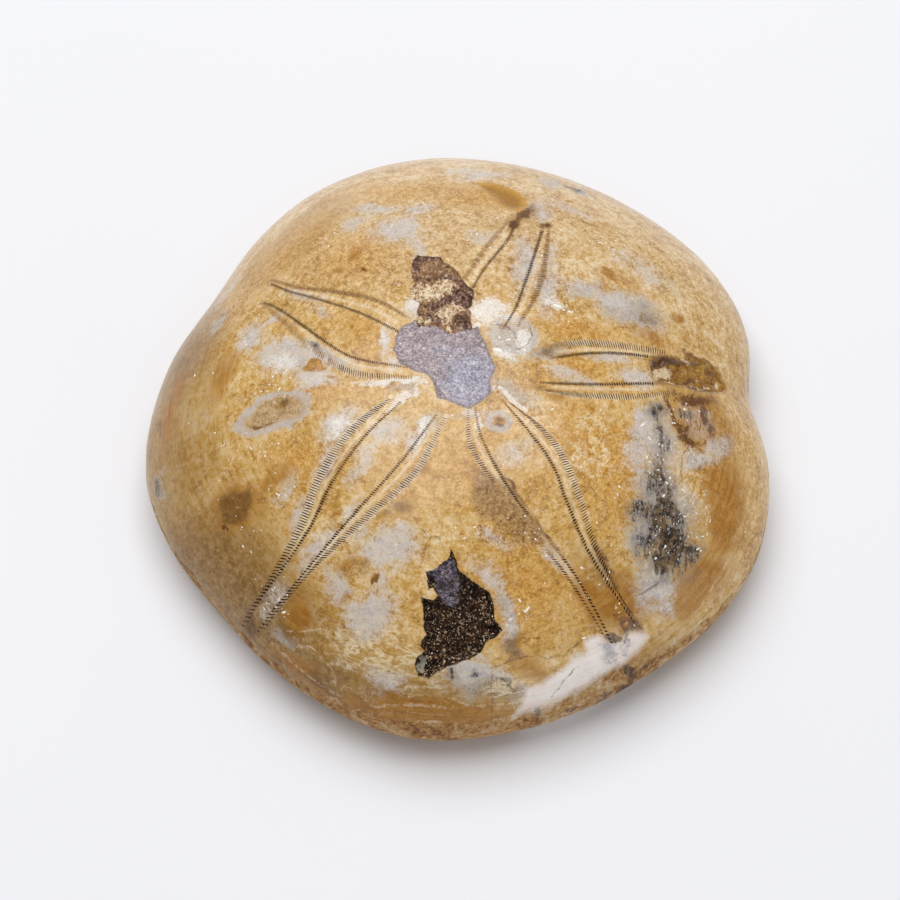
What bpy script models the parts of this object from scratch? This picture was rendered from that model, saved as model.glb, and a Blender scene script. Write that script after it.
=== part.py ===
"""Polished fossil sea urchin: one solid stone, a low dome over a rounded rim.

The outline bulges between the five petals and is flatter at their ends, with a notch in front.
The underside has a flat ground ring to rest on, a shallow hollow, a mouth with five food grooves
running from it, and a vent under the rear rim.

+X points to the frontal notch and +Z is up. The origin lies under the middle of the outline, on
the plane that the stone rests on. Lengths are in metres and bearings in degrees from +X to +Y.
"""
import math

import bmesh
import bpy
from mathutils import Matrix, Vector

STONE = "sea_urchin_fossil"

# Height of the dome's top, and of the widest line of the rim.
APEX_HEIGHT = 0.0266
RIM_HEIGHT = 0.0062

# The dome's side view: a higher roundness fills the top, a higher shoulder fills the sides.
DOME_ROUNDNESS = 2.0
DOME_SHOULDER = 1.7

# Outline seen from above: bearing, and distance of the rim from the dome's top.
RIM_OUTLINE = (
    (20.0, 0.0420), (34.0, 0.0423), (54.0, 0.0415), (75.0, 0.0412), (96.0, 0.04135),
    (118.0, 0.0404), (134.0, 0.0385), (149.0, 0.0370), (166.0, 0.0382), (190.0, 0.0396),
    (207.0, 0.0386), (221.0, 0.0379), (240.0, 0.0391), (263.0, 0.0409), (283.0, 0.0405),
    (306.0, 0.0405), (326.0, 0.0419), (338.0, 0.0422), (353.0, 0.0414),
)
NOTCH_BEARING = 7.0
NOTCH_DEPTH = 0.0025
NOTCH_SPREAD = 9.8

# Under the rim: how far the rest ring lies inside the outline, as a share of the rim's distance.
RING_OUTER_SHARE = 0.868
RING_INNER_SHARE = 0.72

# The mouth and the vent under the rear rim are egg-shaped pits: middle and half sizes.
MOUTH_MIDDLE = (0.0034, 0.0002, 0.0024)
MOUTH_HALF_SIZES = (0.0036, 0.0031, 0.0034)
VENT_MIDDLE = (-0.0362, -0.0038, 0.0003)
VENT_HALF_SIZES = (0.0025, 0.0035, 0.0017)

# The hollow inside the rest ring, and the food grooves that run from the mouth to the ring.
HOLLOW_DEPTH = 0.0022
GROOVE_BEARINGS = (7.0, 72.0, 152.0, 221.0, 300.0)
GROOVE_DEPTH = 0.0008
GROOVE_HALF_WIDTH = 0.0019

# How finely the stone is turned.
TURN_STEPS = 96
DOME_ROWS = 17
RIM_ROWS = 7
HOLLOW_ROWS = 9

# Places where the shell has broken away: outline seen from above, middle and depth.
BREAKS = {
    "side_break": {
        "outline": (
            (-0.0006, -0.0231), (-0.0016, -0.0250), (-0.0036, -0.0258), (-0.0033, -0.0284),
            (-0.0042, -0.0288), (-0.0039, -0.0333), (-0.0051, -0.0352), (-0.0044, -0.0363),
            (-0.0032, -0.0366), (0.0034, -0.0336), (0.0053, -0.0316), (0.0042, -0.0293),
            (0.0043, -0.0277), (0.0001, -0.0250),
        ),
        "middle": (0.0000, -0.0300),
        "depth": 0.0010,
    },
    "front_break": {
        "outline": (
            (0.0240, 0.0034), (0.0241, -0.0004), (0.0261, -0.0009), (0.0290, -0.0004),
            (0.0326, 0.0012), (0.0340, 0.0041), (0.0327, 0.0053), (0.0293, 0.0046),
        ),
        "middle": (0.0290, 0.0022),
        "depth": 0.0009,
    },
    "crumbled_break": {
        "outline": (
            (-0.0056, 0.0156), (-0.0049, 0.0104), (-0.0046, 0.0063), (-0.0009, 0.0043),
            (0.0022, 0.0051), (0.0020, 0.0102), (0.0001, 0.0135), (-0.0020, 0.0158),
        ),
        "middle": (-0.0014, 0.0098),
        "depth": 0.0007,
    },
    "rear_chip": {
        "outline": (
            (0.0021, 0.0308), (0.0055, 0.0261), (0.0079, 0.0236), (0.0092, 0.0257),
            (0.0083, 0.0277), (0.0051, 0.0304),
        ),
        "middle": (0.0064, 0.0274),
        "depth": 0.0008,
    },
}
CUTTER_TOP = APEX_HEIGHT + 0.004

STONE_COLOUR = (0.45, 0.29, 0.12, 1.0)
STONE_ROUGHNESS = 0.25
SHARP_EDGE = math.radians(38.0)


def outline_distance(bearing):
    """Distance of the outline from the dome's top, on a smooth curve through RIM_OUTLINE."""
    count = len(RIM_OUTLINE)
    bearing = (bearing - RIM_OUTLINE[0][0]) % 360.0 + RIM_OUTLINE[0][0]
    start = max(i for i in range(count) if RIM_OUTLINE[i][0] <= bearing)
    near = []
    for i in range(start - 1, start + 3):
        turns, place = divmod(i, count)
        near.append((RIM_OUTLINE[place][0] + 360.0 * turns, RIM_OUTLINE[place][1]))
    (a0, r0), (a1, r1), (a2, r2), (a3, r3) = near
    slope_in = (r2 - r0) / (a2 - a0) * (a2 - a1)
    slope_out = (r3 - r1) / (a3 - a1) * (a2 - a1)
    t = (bearing - a1) / (a2 - a1)
    from_points = (2 * t**3 - 3 * t**2 + 1) * r1 + (3 * t**2 - 2 * t**3) * r2
    from_slopes = (t**3 - 2 * t**2 + t) * slope_in + (t**3 - t**2) * slope_out
    return from_points + from_slopes


def rim_distance(bearing):
    """Distance of the rim from the dome's top, with the frontal notch."""
    from_notch = (bearing - NOTCH_BEARING + 180.0) % 360.0 - 180.0
    notch = NOTCH_DEPTH * math.exp(-((from_notch / NOTCH_SPREAD) ** 2))
    return outline_distance(bearing) - notch


def find_apex():
    """Place of the dome's top when the box round the outline is centred on the origin."""
    across = []
    along = []
    for bearing in range(360):
        across.append(rim_distance(bearing) * math.cos(math.radians(bearing)))
        along.append(rim_distance(bearing) * math.sin(math.radians(bearing)))
    return Vector((-(min(across) + max(across)) / 2, -(min(along) + max(along)) / 2, 0.0))


def dome_height(share):
    """Height of the dome at a share of the way from its top to the rim."""
    rise = (1.0 - min(share, 1.0) ** DOME_ROUNDNESS) ** (1.0 / DOME_SHOULDER)
    return RIM_HEIGHT + (APEX_HEIGHT - RIM_HEIGHT) * rise


def height_at(apex, x, y):
    """Height of the dome above a place on the ground."""
    bearing = math.degrees(math.atan2(y - apex.y, x - apex.x))
    return dome_height(math.hypot(x - apex.x, y - apex.y) / rim_distance(bearing))


def fade(value):
    """Smooth step from 0 to 1."""
    value = max(0.0, min(1.0, value))
    return value * value * (3.0 - 2.0 * value)


def side_profile():
    """Half the side view, from the top, over the rim, under it and in to the middle."""
    profile = []
    for row in range(DOME_ROWS):
        share = math.sin(math.radians(90.0 * row / DOME_ROWS))
        profile.append((share, dome_height(share)))
    for row in range(RIM_ROWS + 1):
        angle = math.radians(90.0 * row / RIM_ROWS)
        inset = (1.0 - RING_OUTER_SHARE) * (1.0 - math.cos(angle))
        profile.append((1.0 - inset, RIM_HEIGHT * (1.0 - math.sin(angle))))
    for row in range(HOLLOW_ROWS + 1):
        profile.append((RING_INNER_SHARE * (1.0 - row / HOLLOW_ROWS), 0.0))
    return profile


def turn_profile():
    """The profile turned once round the upright axis, as a closed body of unit radius."""
    bm = bmesh.new()
    ring = [bm.verts.new((share, 0.0, height)) for share, height in side_profile()]
    edges = [bm.edges.new(pair) for pair in zip(ring, ring[1:])]
    bmesh.ops.spin(
        bm, geom=ring + edges, cent=(0.0, 0.0, 0.0), axis=(0.0, 0.0, 1.0),
        angle=math.tau, steps=TURN_STEPS, use_merge=True, use_duplicate=False,
    )
    bmesh.ops.remove_doubles(bm, verts=bm.verts, dist=0.00001)
    bmesh.ops.recalc_face_normals(bm, faces=bm.faces)
    return bm


def hollow_rise(share):
    """How far the hollow rises above the ground, at a share of the way to the rim."""
    return HOLLOW_DEPTH * fade(1.0 - share / RING_INNER_SHARE)


def groove_rise(place, share):
    """How far the food grooves are sunk into the hollow."""
    from_mouth = place - Vector(MOUTH_MIDDLE).to_2d()
    rise = 0.0
    for bearing in GROOVE_BEARINGS:
        line = Vector((math.cos(math.radians(bearing)), math.sin(math.radians(bearing))))
        if from_mouth.dot(line) > 0.0:
            off_line = from_mouth.cross(line) / GROOVE_HALF_WIDTH
            rise = max(rise, GROOVE_DEPTH * math.exp(-off_line * off_line))
    return rise * fade(4.0 * (1.0 - share / RING_INNER_SHARE))


def fit_outline(bm, apex):
    """Stretch the turned body to the outline, and sink the hollow into its flat underside."""
    for vert in bm.verts:
        share = math.hypot(vert.co.x, vert.co.y)
        bearing = math.degrees(math.atan2(vert.co.y, vert.co.x))
        place = apex.to_2d() + vert.co.to_2d() * rim_distance(bearing)
        height = vert.co.z
        if height == 0.0:
            height = hollow_rise(share) + groove_rise(place, share)
        vert.co = (place.x, place.y, height)


def new_object(name, bm):
    """A mesh object in the scene, made from a bmesh."""
    mesh = bpy.data.meshes.new(name)
    bm.to_mesh(mesh)
    bm.free()
    piece = bpy.data.objects.new(name, mesh)
    bpy.context.scene.collection.objects.link(piece)
    return piece


def new_cutter(name, bm):
    """A guide object that only cuts, and isn't part of the stone."""
    cutter = new_object(name, bm)
    cutter.hide_render = True
    cutter.display_type = "WIRE"
    return cutter


def break_cutter(name, outline, middle, depth, apex):
    """A block with the break's outline, whose floor follows the dome at the break's depth."""
    bm = bmesh.new()
    ring = [bm.verts.new((x, y, height_at(apex, x, y) - depth)) for x, y in outline]
    floor = bm.faces.new(ring)
    top = bmesh.ops.extrude_face_region(bm, geom=[floor], use_keep_orig=True)["geom"]
    for vert in [part for part in top if isinstance(part, bmesh.types.BMVert)]:
        vert.co.z = CUTTER_TOP
    centre = bmesh.ops.poke(bm, faces=[floor])["verts"][0]
    centre.co = (middle[0], middle[1], height_at(apex, *middle) - depth)
    bmesh.ops.recalc_face_normals(bm, faces=bm.faces)
    return new_cutter(name, bm)


def opening_cutter(name, middle, half_sizes):
    """An egg shape that sinks an opening into the underside."""
    bm = bmesh.new()
    bmesh.ops.create_uvsphere(bm, u_segments=20, v_segments=10, radius=1.0)
    place = Matrix.Translation(middle) @ Matrix.Diagonal((*half_sizes, 1.0))
    bmesh.ops.transform(bm, matrix=place, verts=bm.verts)
    return new_cutter(name, bm)


def cut(piece, cutter):
    """Take the cutter out of the piece."""
    modifier = piece.modifiers.new(cutter.name, "BOOLEAN")
    modifier.operation = "DIFFERENCE"
    modifier.solver = "EXACT"
    modifier.object = cutter


def stone_material():
    """Polished golden brown stone."""
    material = bpy.data.materials.new(STONE)
    material.use_nodes = True
    shader = material.node_tree.nodes["Principled BSDF"]
    shader.inputs["Base Color"].default_value = STONE_COLOUR
    shader.inputs["Roughness"].default_value = STONE_ROUGHNESS
    shader.inputs["Metallic"].default_value = 0.0
    return material


def make_stone():
    """The whole stone, with its breaks and openings cut in."""
    apex = find_apex()
    bm = turn_profile()
    fit_outline(bm, apex)
    stone = new_object(STONE, bm)
    stone.data.shade_smooth()
    stone.data.set_sharp_from_angle(angle=SHARP_EDGE)
    stone.data.materials.append(stone_material())
    for name, spot in BREAKS.items():
        cut(stone, break_cutter(name, spot["outline"], spot["middle"], spot["depth"], apex))
    cut(stone, opening_cutter("mouth", MOUTH_MIDDLE, MOUTH_HALF_SIZES))
    cut(stone, opening_cutter("vent", VENT_MIDDLE, VENT_HALF_SIZES))
    return stone


def main():
    """Clear the scene and model the stone."""
    for old in list(bpy.data.objects):
        bpy.data.objects.remove(old, do_unlink=True)
    make_stone()


main()
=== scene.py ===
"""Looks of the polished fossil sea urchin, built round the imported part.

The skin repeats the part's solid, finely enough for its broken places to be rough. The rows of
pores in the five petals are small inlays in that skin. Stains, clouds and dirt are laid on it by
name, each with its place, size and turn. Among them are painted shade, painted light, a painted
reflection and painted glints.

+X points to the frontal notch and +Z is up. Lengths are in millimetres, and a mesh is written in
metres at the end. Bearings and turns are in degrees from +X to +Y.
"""
import math
import random

import bmesh
import bpy
import numpy as np
from mathutils import Euler, Matrix, Vector, noise
from mathutils.bvhtree import BVHTree
from mathutils.kdtree import KDTree


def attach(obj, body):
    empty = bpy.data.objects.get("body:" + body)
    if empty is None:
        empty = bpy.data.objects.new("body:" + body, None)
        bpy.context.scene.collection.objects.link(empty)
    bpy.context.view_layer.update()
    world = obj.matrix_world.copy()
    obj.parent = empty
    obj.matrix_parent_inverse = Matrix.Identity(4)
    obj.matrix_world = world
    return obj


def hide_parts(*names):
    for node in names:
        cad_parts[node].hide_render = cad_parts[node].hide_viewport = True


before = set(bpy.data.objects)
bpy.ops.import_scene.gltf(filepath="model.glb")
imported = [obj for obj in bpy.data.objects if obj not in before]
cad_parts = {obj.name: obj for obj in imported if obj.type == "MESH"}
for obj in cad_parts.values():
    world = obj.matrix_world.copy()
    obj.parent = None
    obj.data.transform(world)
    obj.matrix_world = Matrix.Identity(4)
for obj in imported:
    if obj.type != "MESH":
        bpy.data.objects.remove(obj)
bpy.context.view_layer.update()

STONE = "sea_urchin_fossil"
MM = 0.001

# ---------------------------------------------------------------- the stone's shape

APEX_HEIGHT = 26.6
RIM_HEIGHT = 6.2
DOME_ROUNDNESS = 2.0
DOME_SHOULDER = 1.7

# Outline seen from above: bearing, and distance of the rim from the dome's top.
RIM_OUTLINE = (
    (20.0, 42.0), (34.0, 42.3), (54.0, 41.5), (75.0, 41.2), (96.0, 41.35), (118.0, 40.4),
    (134.0, 38.5), (149.0, 37.0), (166.0, 38.2), (190.0, 39.6), (207.0, 38.6), (221.0, 37.9),
    (240.0, 39.1), (263.0, 40.9), (283.0, 40.5), (306.0, 40.5), (326.0, 41.9), (338.0, 42.2),
    (353.0, 41.4),
)
NOTCH_BEARING = 7.0
NOTCH_DEPTH = 2.5
NOTCH_SPREAD = 9.8
RING_OUTER_SHARE = 0.868
RING_INNER_SHARE = 0.72

# The mouth and the vent are egg-shaped pits: middle and half sizes.
MOUTH = ((3.4, 0.2, 2.4), (3.6, 3.1, 3.4))
VENT = ((-36.2, -3.8, 0.3), (2.5, 3.5, 1.7))
HOLLOW_DEPTH = 2.2
GROOVE_BEARINGS = (7.0, 72.0, 152.0, 221.0, 300.0)
GROOVE_DEPTH = 0.8
GROOVE_HALF_WIDTH = 1.9

# How finely the skin is turned, and how far round a broken place or a pit it is finer still.
TURN_STEPS = 400
WALK_STEPS = 2000
DOME_ROWS = 124
RIM_ROWS = 16
RING_ROWS = 5
HOLLOW_ROWS = 20
FINE_REACH = 0.45
FINE_PIT_REACH = 0.8
HAIR = 1e-6
TINY = 1e-9

# The skin unfolded for its finish: how far the rim adds to the dome's disc, and the middle and
# radius of that disc and of the underside's.
RIM_UNFOLDED = 9.0
DOME_DISC = (0.435, 0.432)
UNDER_DISC = (0.868, 0.128)

# Where the polish ends above the rim: bearing and height.
POLISH_END = (
    (0.0, 7.4), (30.0, 7.0), (90.0, 7.0), (150.0, 7.0), (190.0, 7.0), (215.0, 7.4), (240.0, 7.8),
    (262.0, 8.8), (280.0, 9.0), (292.0, 9.6), (302.0, 10.2), (308.0, 9.0), (316.0, 8.2),
    (330.0, 7.4), (360.0, 7.4),
)

# Broken places, by their outlines seen from above.
SIDE_BREAK = (
    (-0.8, -22.9), (-0.2, -24.3), (0.2, -25.6), (1.0, -26.1), (2.0, -26.7), (3.0, -27.3),
    (3.9, -27.8), (4.4, -29.0), (4.5, -30.5), (5.0, -31.1), (5.4, -31.7), (4.6, -32.4),
    (3.4, -33.1), (2.9, -34.0), (1.6, -34.7), (0.2, -35.1), (-1.2, -35.4), (-2.4, -36.0),
    (-3.4, -36.6), (-4.8, -36.3), (-5.1, -35.3), (-5.0, -34.6), (-4.0, -33.9), (-4.5, -33.4),
    (-4.3, -32.8), (-3.7, -32.3), (-4.1, -31.5), (-4.1, -29.5), (-4.5, -28.2), (-2.9, -28.7),
    (-2.4, -28.2), (-3.0, -27.4), (-3.5, -27.8), (-3.8, -25.7), (-2.6, -25.4), (-1.0, -24.2),
)
SIDE_LEDGE = (
    (-3.6, -25.8), (-1.1, -24.4), (-0.4, -24.3), (0.2, -26.2), (0.6, -27.0), (0.2, -28.0),
    (0.3, -29.2), (-0.6, -29.6), (-1.8, -29.2), (-2.4, -28.0), (-2.8, -26.8),
)
FRONT_BREAK = (
    (23.6, 2.2), (24.0, 3.2), (25.0, 3.9), (26.6, 4.4), (28.4, 4.7), (30.5, 5.3), (31.8, 5.0),
    (33.3, 4.7), (34.0, 3.4), (34.3, 2.4), (33.8, 1.4), (32.0, 0.6), (30.5, 0.0), (28.6, 0.2),
    (27.0, -0.1), (25.2, -0.2), (24.4, -0.4),
)
CRUMBLED_BREAK = (
    (-5.7, 12.4), (-5.6, 15.2), (-5.0, 16.1), (-2.0, 15.8), (-1.6, 15.0), (-0.8, 14.3),
    (0.0, 13.3), (0.8, 11.9), (1.3, 11.0), (2.0, 10.4), (2.1, 9.2), (1.8, 8.0), (1.3, 7.3),
    (1.7, 6.8), (1.7, 5.6), (1.9, 4.5), (0.2, 4.3), (-0.8, 3.7), (-1.6, 4.4), (-2.6, 5.0),
    (-4.8, 4.9), (-5.1, 5.8), (-5.0, 7.2), (-4.6, 8.3), (-5.3, 8.8), (-6.0, 9.6),
    (-5.9, 10.8), (-5.2, 11.4),
)
REAR_CHIP = (
    (2.0, 30.6), (5.0, 30.6), (7.6, 29.4), (9.1, 27.6), (9.2, 25.6), (8.0, 24.2), (5.8, 24.8),
    (4.0, 27.2),
)
# Within the crumbled place: pale crumbs and dark crust. The rest of it is brown.
PALE_CRUMBS = (
    (
        (-6.0, 9.8), (-5.0, 11.2), (-4.0, 11.6), (-1.2, 12.4), (0.0, 11.3), (-1.0, 10.1),
        (-2.4, 9.0), (-4.6, 8.7),
    ),
    (
        (-0.5, 8.6), (0.6, 7.8), (1.6, 7.5), (0.2, 7.1), (-0.5, 6.8), (-0.7, 5.2), (-0.6, 4.0),
        (-1.1, 3.8), (-1.4, 4.8), (-1.9, 6.4), (-3.0, 6.5), (-2.3, 7.3),
    ),
    ((-4.9, 6.7), (-3.6, 6.4), (-3.3, 5.6), (-4.2, 5.3), (-4.9, 5.7)),
)
DARK_CRUST = (
    (
        (-4.9, 8.4), (-3.0, 8.5), (-1.2, 9.6), (-0.6, 10.6), (1.0, 11.0), (2.3, 10.4),
        (2.2, 8.9), (1.7, 7.6), (0.6, 7.9), (-0.6, 8.5), (-2.2, 7.6), (-3.2, 6.9),
        (-4.9, 6.9), (-5.3, 5.6), (-5.0, 4.8), (-4.4, 4.9), (-3.0, 5.7), (-2.2, 5.0),
        (-1.8, 6.0), (-2.8, 6.6), (-2.4, 7.0),
    ),
    ((-0.4, 6.6), (1.6, 6.8), (1.9, 5.0), (1.8, 4.3), (0.0, 4.3), (-0.5, 5.5)),
    ((-5.8, 15.4), (-4.9, 16.3), (-1.8, 16.0), (-1.7, 15.2), (-4.6, 15.5), (-5.1, 12.0)),
    (
        (-4.2, 12.4), (-2.6, 12.9), (-1.0, 13.0), (0.9, 12.0), (1.4, 10.9), (0.3, 11.4),
        (-1.2, 12.4), (-2.8, 12.1),
    ),
)
BREAKS = {
    "side": SIDE_BREAK,
    "front": FRONT_BREAK,
    "crumbled": CRUMBLED_BREAK,
    "chip": REAR_CHIP,
}
# How wide the slope at each broken place's edge is, and how deep its floor lies.
BREAK_SHAPES = {
    "side": (0.45, 1.25),
    "front": (1.1, 0.6),
    "crumbled": (0.3, 0.36),
    "chip": (1.8, 0.35),
}
LEDGE_RISE = 0.8
CRUMB_RISE = 0.14
# Relief is worked out this far round the broken places, and inlays keep this far off them.
BREAK_REACH = 1.5
BREAK_MARGIN = 0.25

# How wide the end of the polish is, how much it waves, and how rough the hollow is.
POLISH_FADE = 1.6
POLISH_SWELL = 0.05
HOLLOW_GRIT = 0.1

# ---------------------------------------------------------------- marks on the stone

# How far inside or outside an outline a mark still says.
MARK_LIMIT = 3.0

# Seams between the plates at the top, filled with lavender calcite.
APEX_PATCH = (
    (-7.6, 3.4), (-6.7, 5.1), (-4.6, 6.1), (-2.1, 5.5), (0.1, 4.3), (2.5, 4.9), (3.5, 2.2),
    (4.7, -0.8), (4.0, -2.6), (4.2, -4.3), (2.9, -5.5), (1.2, -6.5), (-0.6, -5.6),
    (-2.5, -4.9), (-2.9, -3.2), (-3.4, -2.1), (-5.5, -1.2), (-7.1, -0.2), (-7.8, 1.7),
)
BROWN_PATCH = (
    (2.5, -13.6), (5.1, -15.2), (7.5, -17.0), (9.5, -19.6), (10.9, -22.3), (9.2, -22.5),
    (6.9, -22.5), (5.7, -20.6), (2.4, -19.6), (1.5, -17.6), (1.9, -15.3),
)
# A pale pink band on the right rim: partly pale stone, partly a painted reflection.
PINK_BAND_AND_REFLECTION = (
    (8.2, -36.6), (10.1, -36.2), (10.9, -35.5), (12.9, -34.3), (14.1, -33.4), (15.4, -32.9),
    (14.9, -31.9), (15.8, -31.1), (17.0, -30.8), (18.1, -31.2), (19.3, -31.2), (20.3, -30.3),
    (21.5, -29.8), (22.8, -29.6), (23.9, -30.0), (22.9, -31.0), (22.2, -31.9), (21.4, -32.4),
    (20.6, -33.2), (19.4, -33.9), (17.4, -35.0), (15.0, -36.5), (12.6, -37.7), (10.1, -38.6),
    (8.2, -39.2), (6.4, -39.6), (7.6, -38.2),
)

# Thin lines on the polish, by places along each, how far off them they are looked for and told,
# and the distance that stands for a far one.
LINE_SEARCH = 9.0
LINE_REACH = 0.7
FAR_OFF = 5.0
BROWN_LINES = (
    ((4.0, -35.2), (6.0, -34.5), (8.4, -33.9), (10.6, -34.1), (13.0, -33.4), (15.0, -31.9)),
    ((24.5, -4.6), (24.7, -8.1), (24.8, -10.1), (25.0, -12.5), (25.2, -15.0)),
    ((25.0, -22.6), (24.2, -24.6), (22.7, -25.7), (21.1, -26.6)),
    ((28.8, -7.6), (27.4, -9.5), (27.2, -11.8), (27.5, -12.8)),
    ((28.2, -8.4), (29.2, -9.7), (30.2, -10.7)),
    ((23.6, -10.2), (24.5, -11.4), (24.9, -12.3)),
    ((26.0, -2.4), (26.5, -4.0), (27.2, -5.6), (27.8, -6.8), (28.2, -7.8)),
    ((28.6, -2.6), (28.9, -4.6), (28.5, -6.8)),
    ((30.0, -1.2), (30.4, -3.2), (30.0, -5.6)),
    ((31.4, -1.6), (31.8, -3.8)),
    ((34.6, 2.2), (35.7, 1.8), (36.8, 1.3), (38.2, 0.9)),
    ((22.0, 2.7), (24.0, 3.0), (26.9, 3.5), (28.6, 4.0), (31.4, 4.9)),
    ((-4.1, -20.7), (-3.8, -21.4)),
    ((-3.9, -23.1), (-3.5, -22.5), (-3.3, -22.1), (-3.0, -21.8), (-2.3, -21.8), (-1.8, -22.6)),
    ((-25.4, -6.3), (-24.0, -6.7), (-22.2, -6.2), (-21.0, -5.2), (-21.2, -4.4)),
    ((4.8, 2.2), (6.4, 2.4), (7.5, 1.9), (8.6, 2.6), (9.2, 3.8), (9.0, 5.2)),
    ((5.0, 5.2), (6.2, 4.9), (7.0, 4.1), (7.5, 3.1)),
    ((4.2, -36.4), (4.3, -38.0), (4.1, -39.8)),
    ((14.2, -34.8), (13.2, -35.6), (12.3, -36.5), (11.6, -37.1)),
    ((12.4, 34.4), (14.0, 32.6), (15.6, 31.4), (17.4, 31.6)),
    ((5.6, -36.6), (6.5, -37.1)),
    ((16.2, -15.6), (17.0, -16.6), (18.2, -17.0)),
)
PALE_LINES = (
    ((6.8, -29.2), (5.8, -29.9), (4.9, -30.8), (5.8, -31.6), (6.4, -32.4)),
    ((-13.5, -36.3), (-11.8, -37.4), (-10.1, -38.4), (-7.7, -38.7), (-4.3, -38.8), (-1.0, -39.4)),
    ((-10.6, -39.3), (-8.7, -39.6), (-6.5, -39.9), (-4.0, -40.3), (-1.6, -40.4)),
    ((-14.6, -34.2), (-13.4, -34.7), (-12.0, -35.5), (-10.0, -36.0), (-6.7, -37.0), (-1.9, -37.5)),
    ((-1.8, -38.2), (1.0, -38.8), (4.0, -39.0), (7.2, -38.4), (9.6, -37.4)),
    ((-17.6, -33.0), (-15.0, -34.2), (-12.0, -34.6), (-9.0, -34.0)),
    ((-19.4, -31.6), (-17.6, -32.0), (-16.2, -33.2), (-14.6, -35.6)),
    ((-20.8, -29.8), (-18.8, -30.4), (-16.6, -30.2), (-14.4, -31.2)),
    ((-22.4, -30.6), (-20.0, -32.8), (-17.4, -35.0), (-14.2, -36.9)),
    ((35.0, -15.0), (33.6, -20.0), (30.6, -25.0), (26.6, -29.4)),
    ((36.4, -13.0), (35.4, -18.6), (32.6, -24.0), (28.6, -28.6)),
    ((12.0, 14.6), (14.6, 14.0), (17.4, 14.9), (20.6, 14.2)),
    ((12.6, 16.0), (15.6, 15.7), (18.6, 16.6)),
    ((29.2, -14.2), (30.6, -15.4), (30.4, -18.8)),
    ((4.3, 1.5), (5.6, 1.0), (7.4, 1.0), (9.4, 1.9), (10.2, 3.4), (9.9, 5.4), (8.4, 6.8)),
    ((-18.2, -20.2), (-16.2, -20.6), (-14.2, -22.0)),
    ((-6.9, -37.4), (-1.6, -36.6), (3.0, -35.6), (7.4, -36.0), (8.3, -37.6), (6.0, -39.0)),
    ((-26.0, -2.6), (-24.0, -1.6), (-21.6, -1.4)),
    ((5.6, -30.6), (7.4, -31.4), (8.2, -30.4)),
)
# Rings of pale stone: place, half length, half width and turn of a ring's middle line.
RING_HALF_BREADTH = 0.7
RINGS = (
    (-22.7, -5.0, 4.3, 2.1, 14), (7.0, 3.8, 2.5, 2.4, 0), (4.9, -8.0, 1.2, 1.1, 0),
)

# Bright crystals, partly painted glints: a field's middle, half length, half width, turn and count.
GLINT_FIELDS = (
    (-22.4, -0.6, 3.5, 2.7, -50, 26), (-22.0, -26.6, 2.4, 1.5, -40, 18),
    (1.0, -21.8, 5.0, 1.4, -8, 24), (7.0, -29.8, 2.2, 1.6, 5, 14), (12.4, 8.0, 3.0, 1.6, -10, 30),
    (19.2, 19.1, 3.0, 2.0, 42, 16), (29.0, -16.3, 2.2, 5.0, 0, 44), (-13.5, 18.5, 4.3, 3.3, -28, 22),
    (-25.0, -8.5, 4.7, 2.2, -10, 18), (8.0, -20.6, 1.6, 2.6, 45, 16), (25.2, -11.0, 2.2, 4.0, 0, 40),
    (-21.0, -14.0, 2.4, 1.6, 0, 10), (-26.4, 5.6, 1.5, 2.0, 0, 10), (5.6, 17.8, 2.4, 1.2, 60, 10),
    (7.5, 2.5, 2.6, 2.4, 0, 16), (27.8, -4.4, 1.8, 2.4, 0, 14), (21.0, -28.6, 2.4, 1.4, -40, 10),
    (-5.0, 24.0, 5.0, 2.0, 0, 14), (25.4, -20.0, 2.6, 3.0, 0, 22), (0.0, -2.0, 34.0, 32.0, 0, 130),
    (-26.0, -16.0, 3.0, 6.0, 20, 14), (14.0, -20.0, 7.0, 8.0, 0, 24), (5.6, 8.4, 2.4, 1.2, 0, 8),
)
GLINT_LENGTHS = (0.16, 0.6)
GLINT_SEED = 5
# The largest of them: place, length, width and turn.
LARGE_GLINTS = (
    (8.3, -29.4, 1.1, 0.36, 60), (7.4, -28.5, 0.7, 0.26, -50), (6.3, -30.5, 0.9, 0.22, 30),
    (-21.6, -26.6, 0.9, 0.34, 50), (-21.0, -28.0, 1.0, 0.36, 20), (-22.4, -25.4, 0.6, 0.2, -40),
    (12.4, 8.6, 1.3, 0.44, -12), (11.0, 9.0, 0.7, 0.3, 40), (13.9, 7.9, 0.6, 0.26, 10),
    (24.4, -12.0, 0.5, 0.34, 0), (25.9, -12.7, 0.5, 0.3, 60), (27.5, -13.8, 0.6, 0.24, -40),
    (28.8, -15.0, 0.8, 0.24, 70), (31.0, -16.6, 0.7, 0.2, 80), (30.6, -18.2, 0.6, 0.24, 70),
    (29.4, -20.1, 0.8, 0.34, 20), (28.1, -3.2, 0.5, 0.4, 0), (22.6, -6.6, 0.9, 0.3, 40),
    (23.4, -8.2, 0.7, 0.24, -50), (5.0, 1.6, 1.1, 0.5, -10), (18.2, 20.3, 0.7, 0.24, 40),
    (19.9, 18.4, 0.6, 0.24, 20), (-25.2, -9.0, 0.8, 0.26, -60), (15.2, -31.6, 0.7, 0.3, 20),
)

# Grains in the broken places: which place, how many, and how often one is bright.
GRAIN_FIELDS = (("side", 620, 0.42), ("front", 60, 0.3), ("crumbled", 300, 0.25))
GRAIN_SIZES = (0.05, 0.13)
GRAIN_SEED = 23
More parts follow.
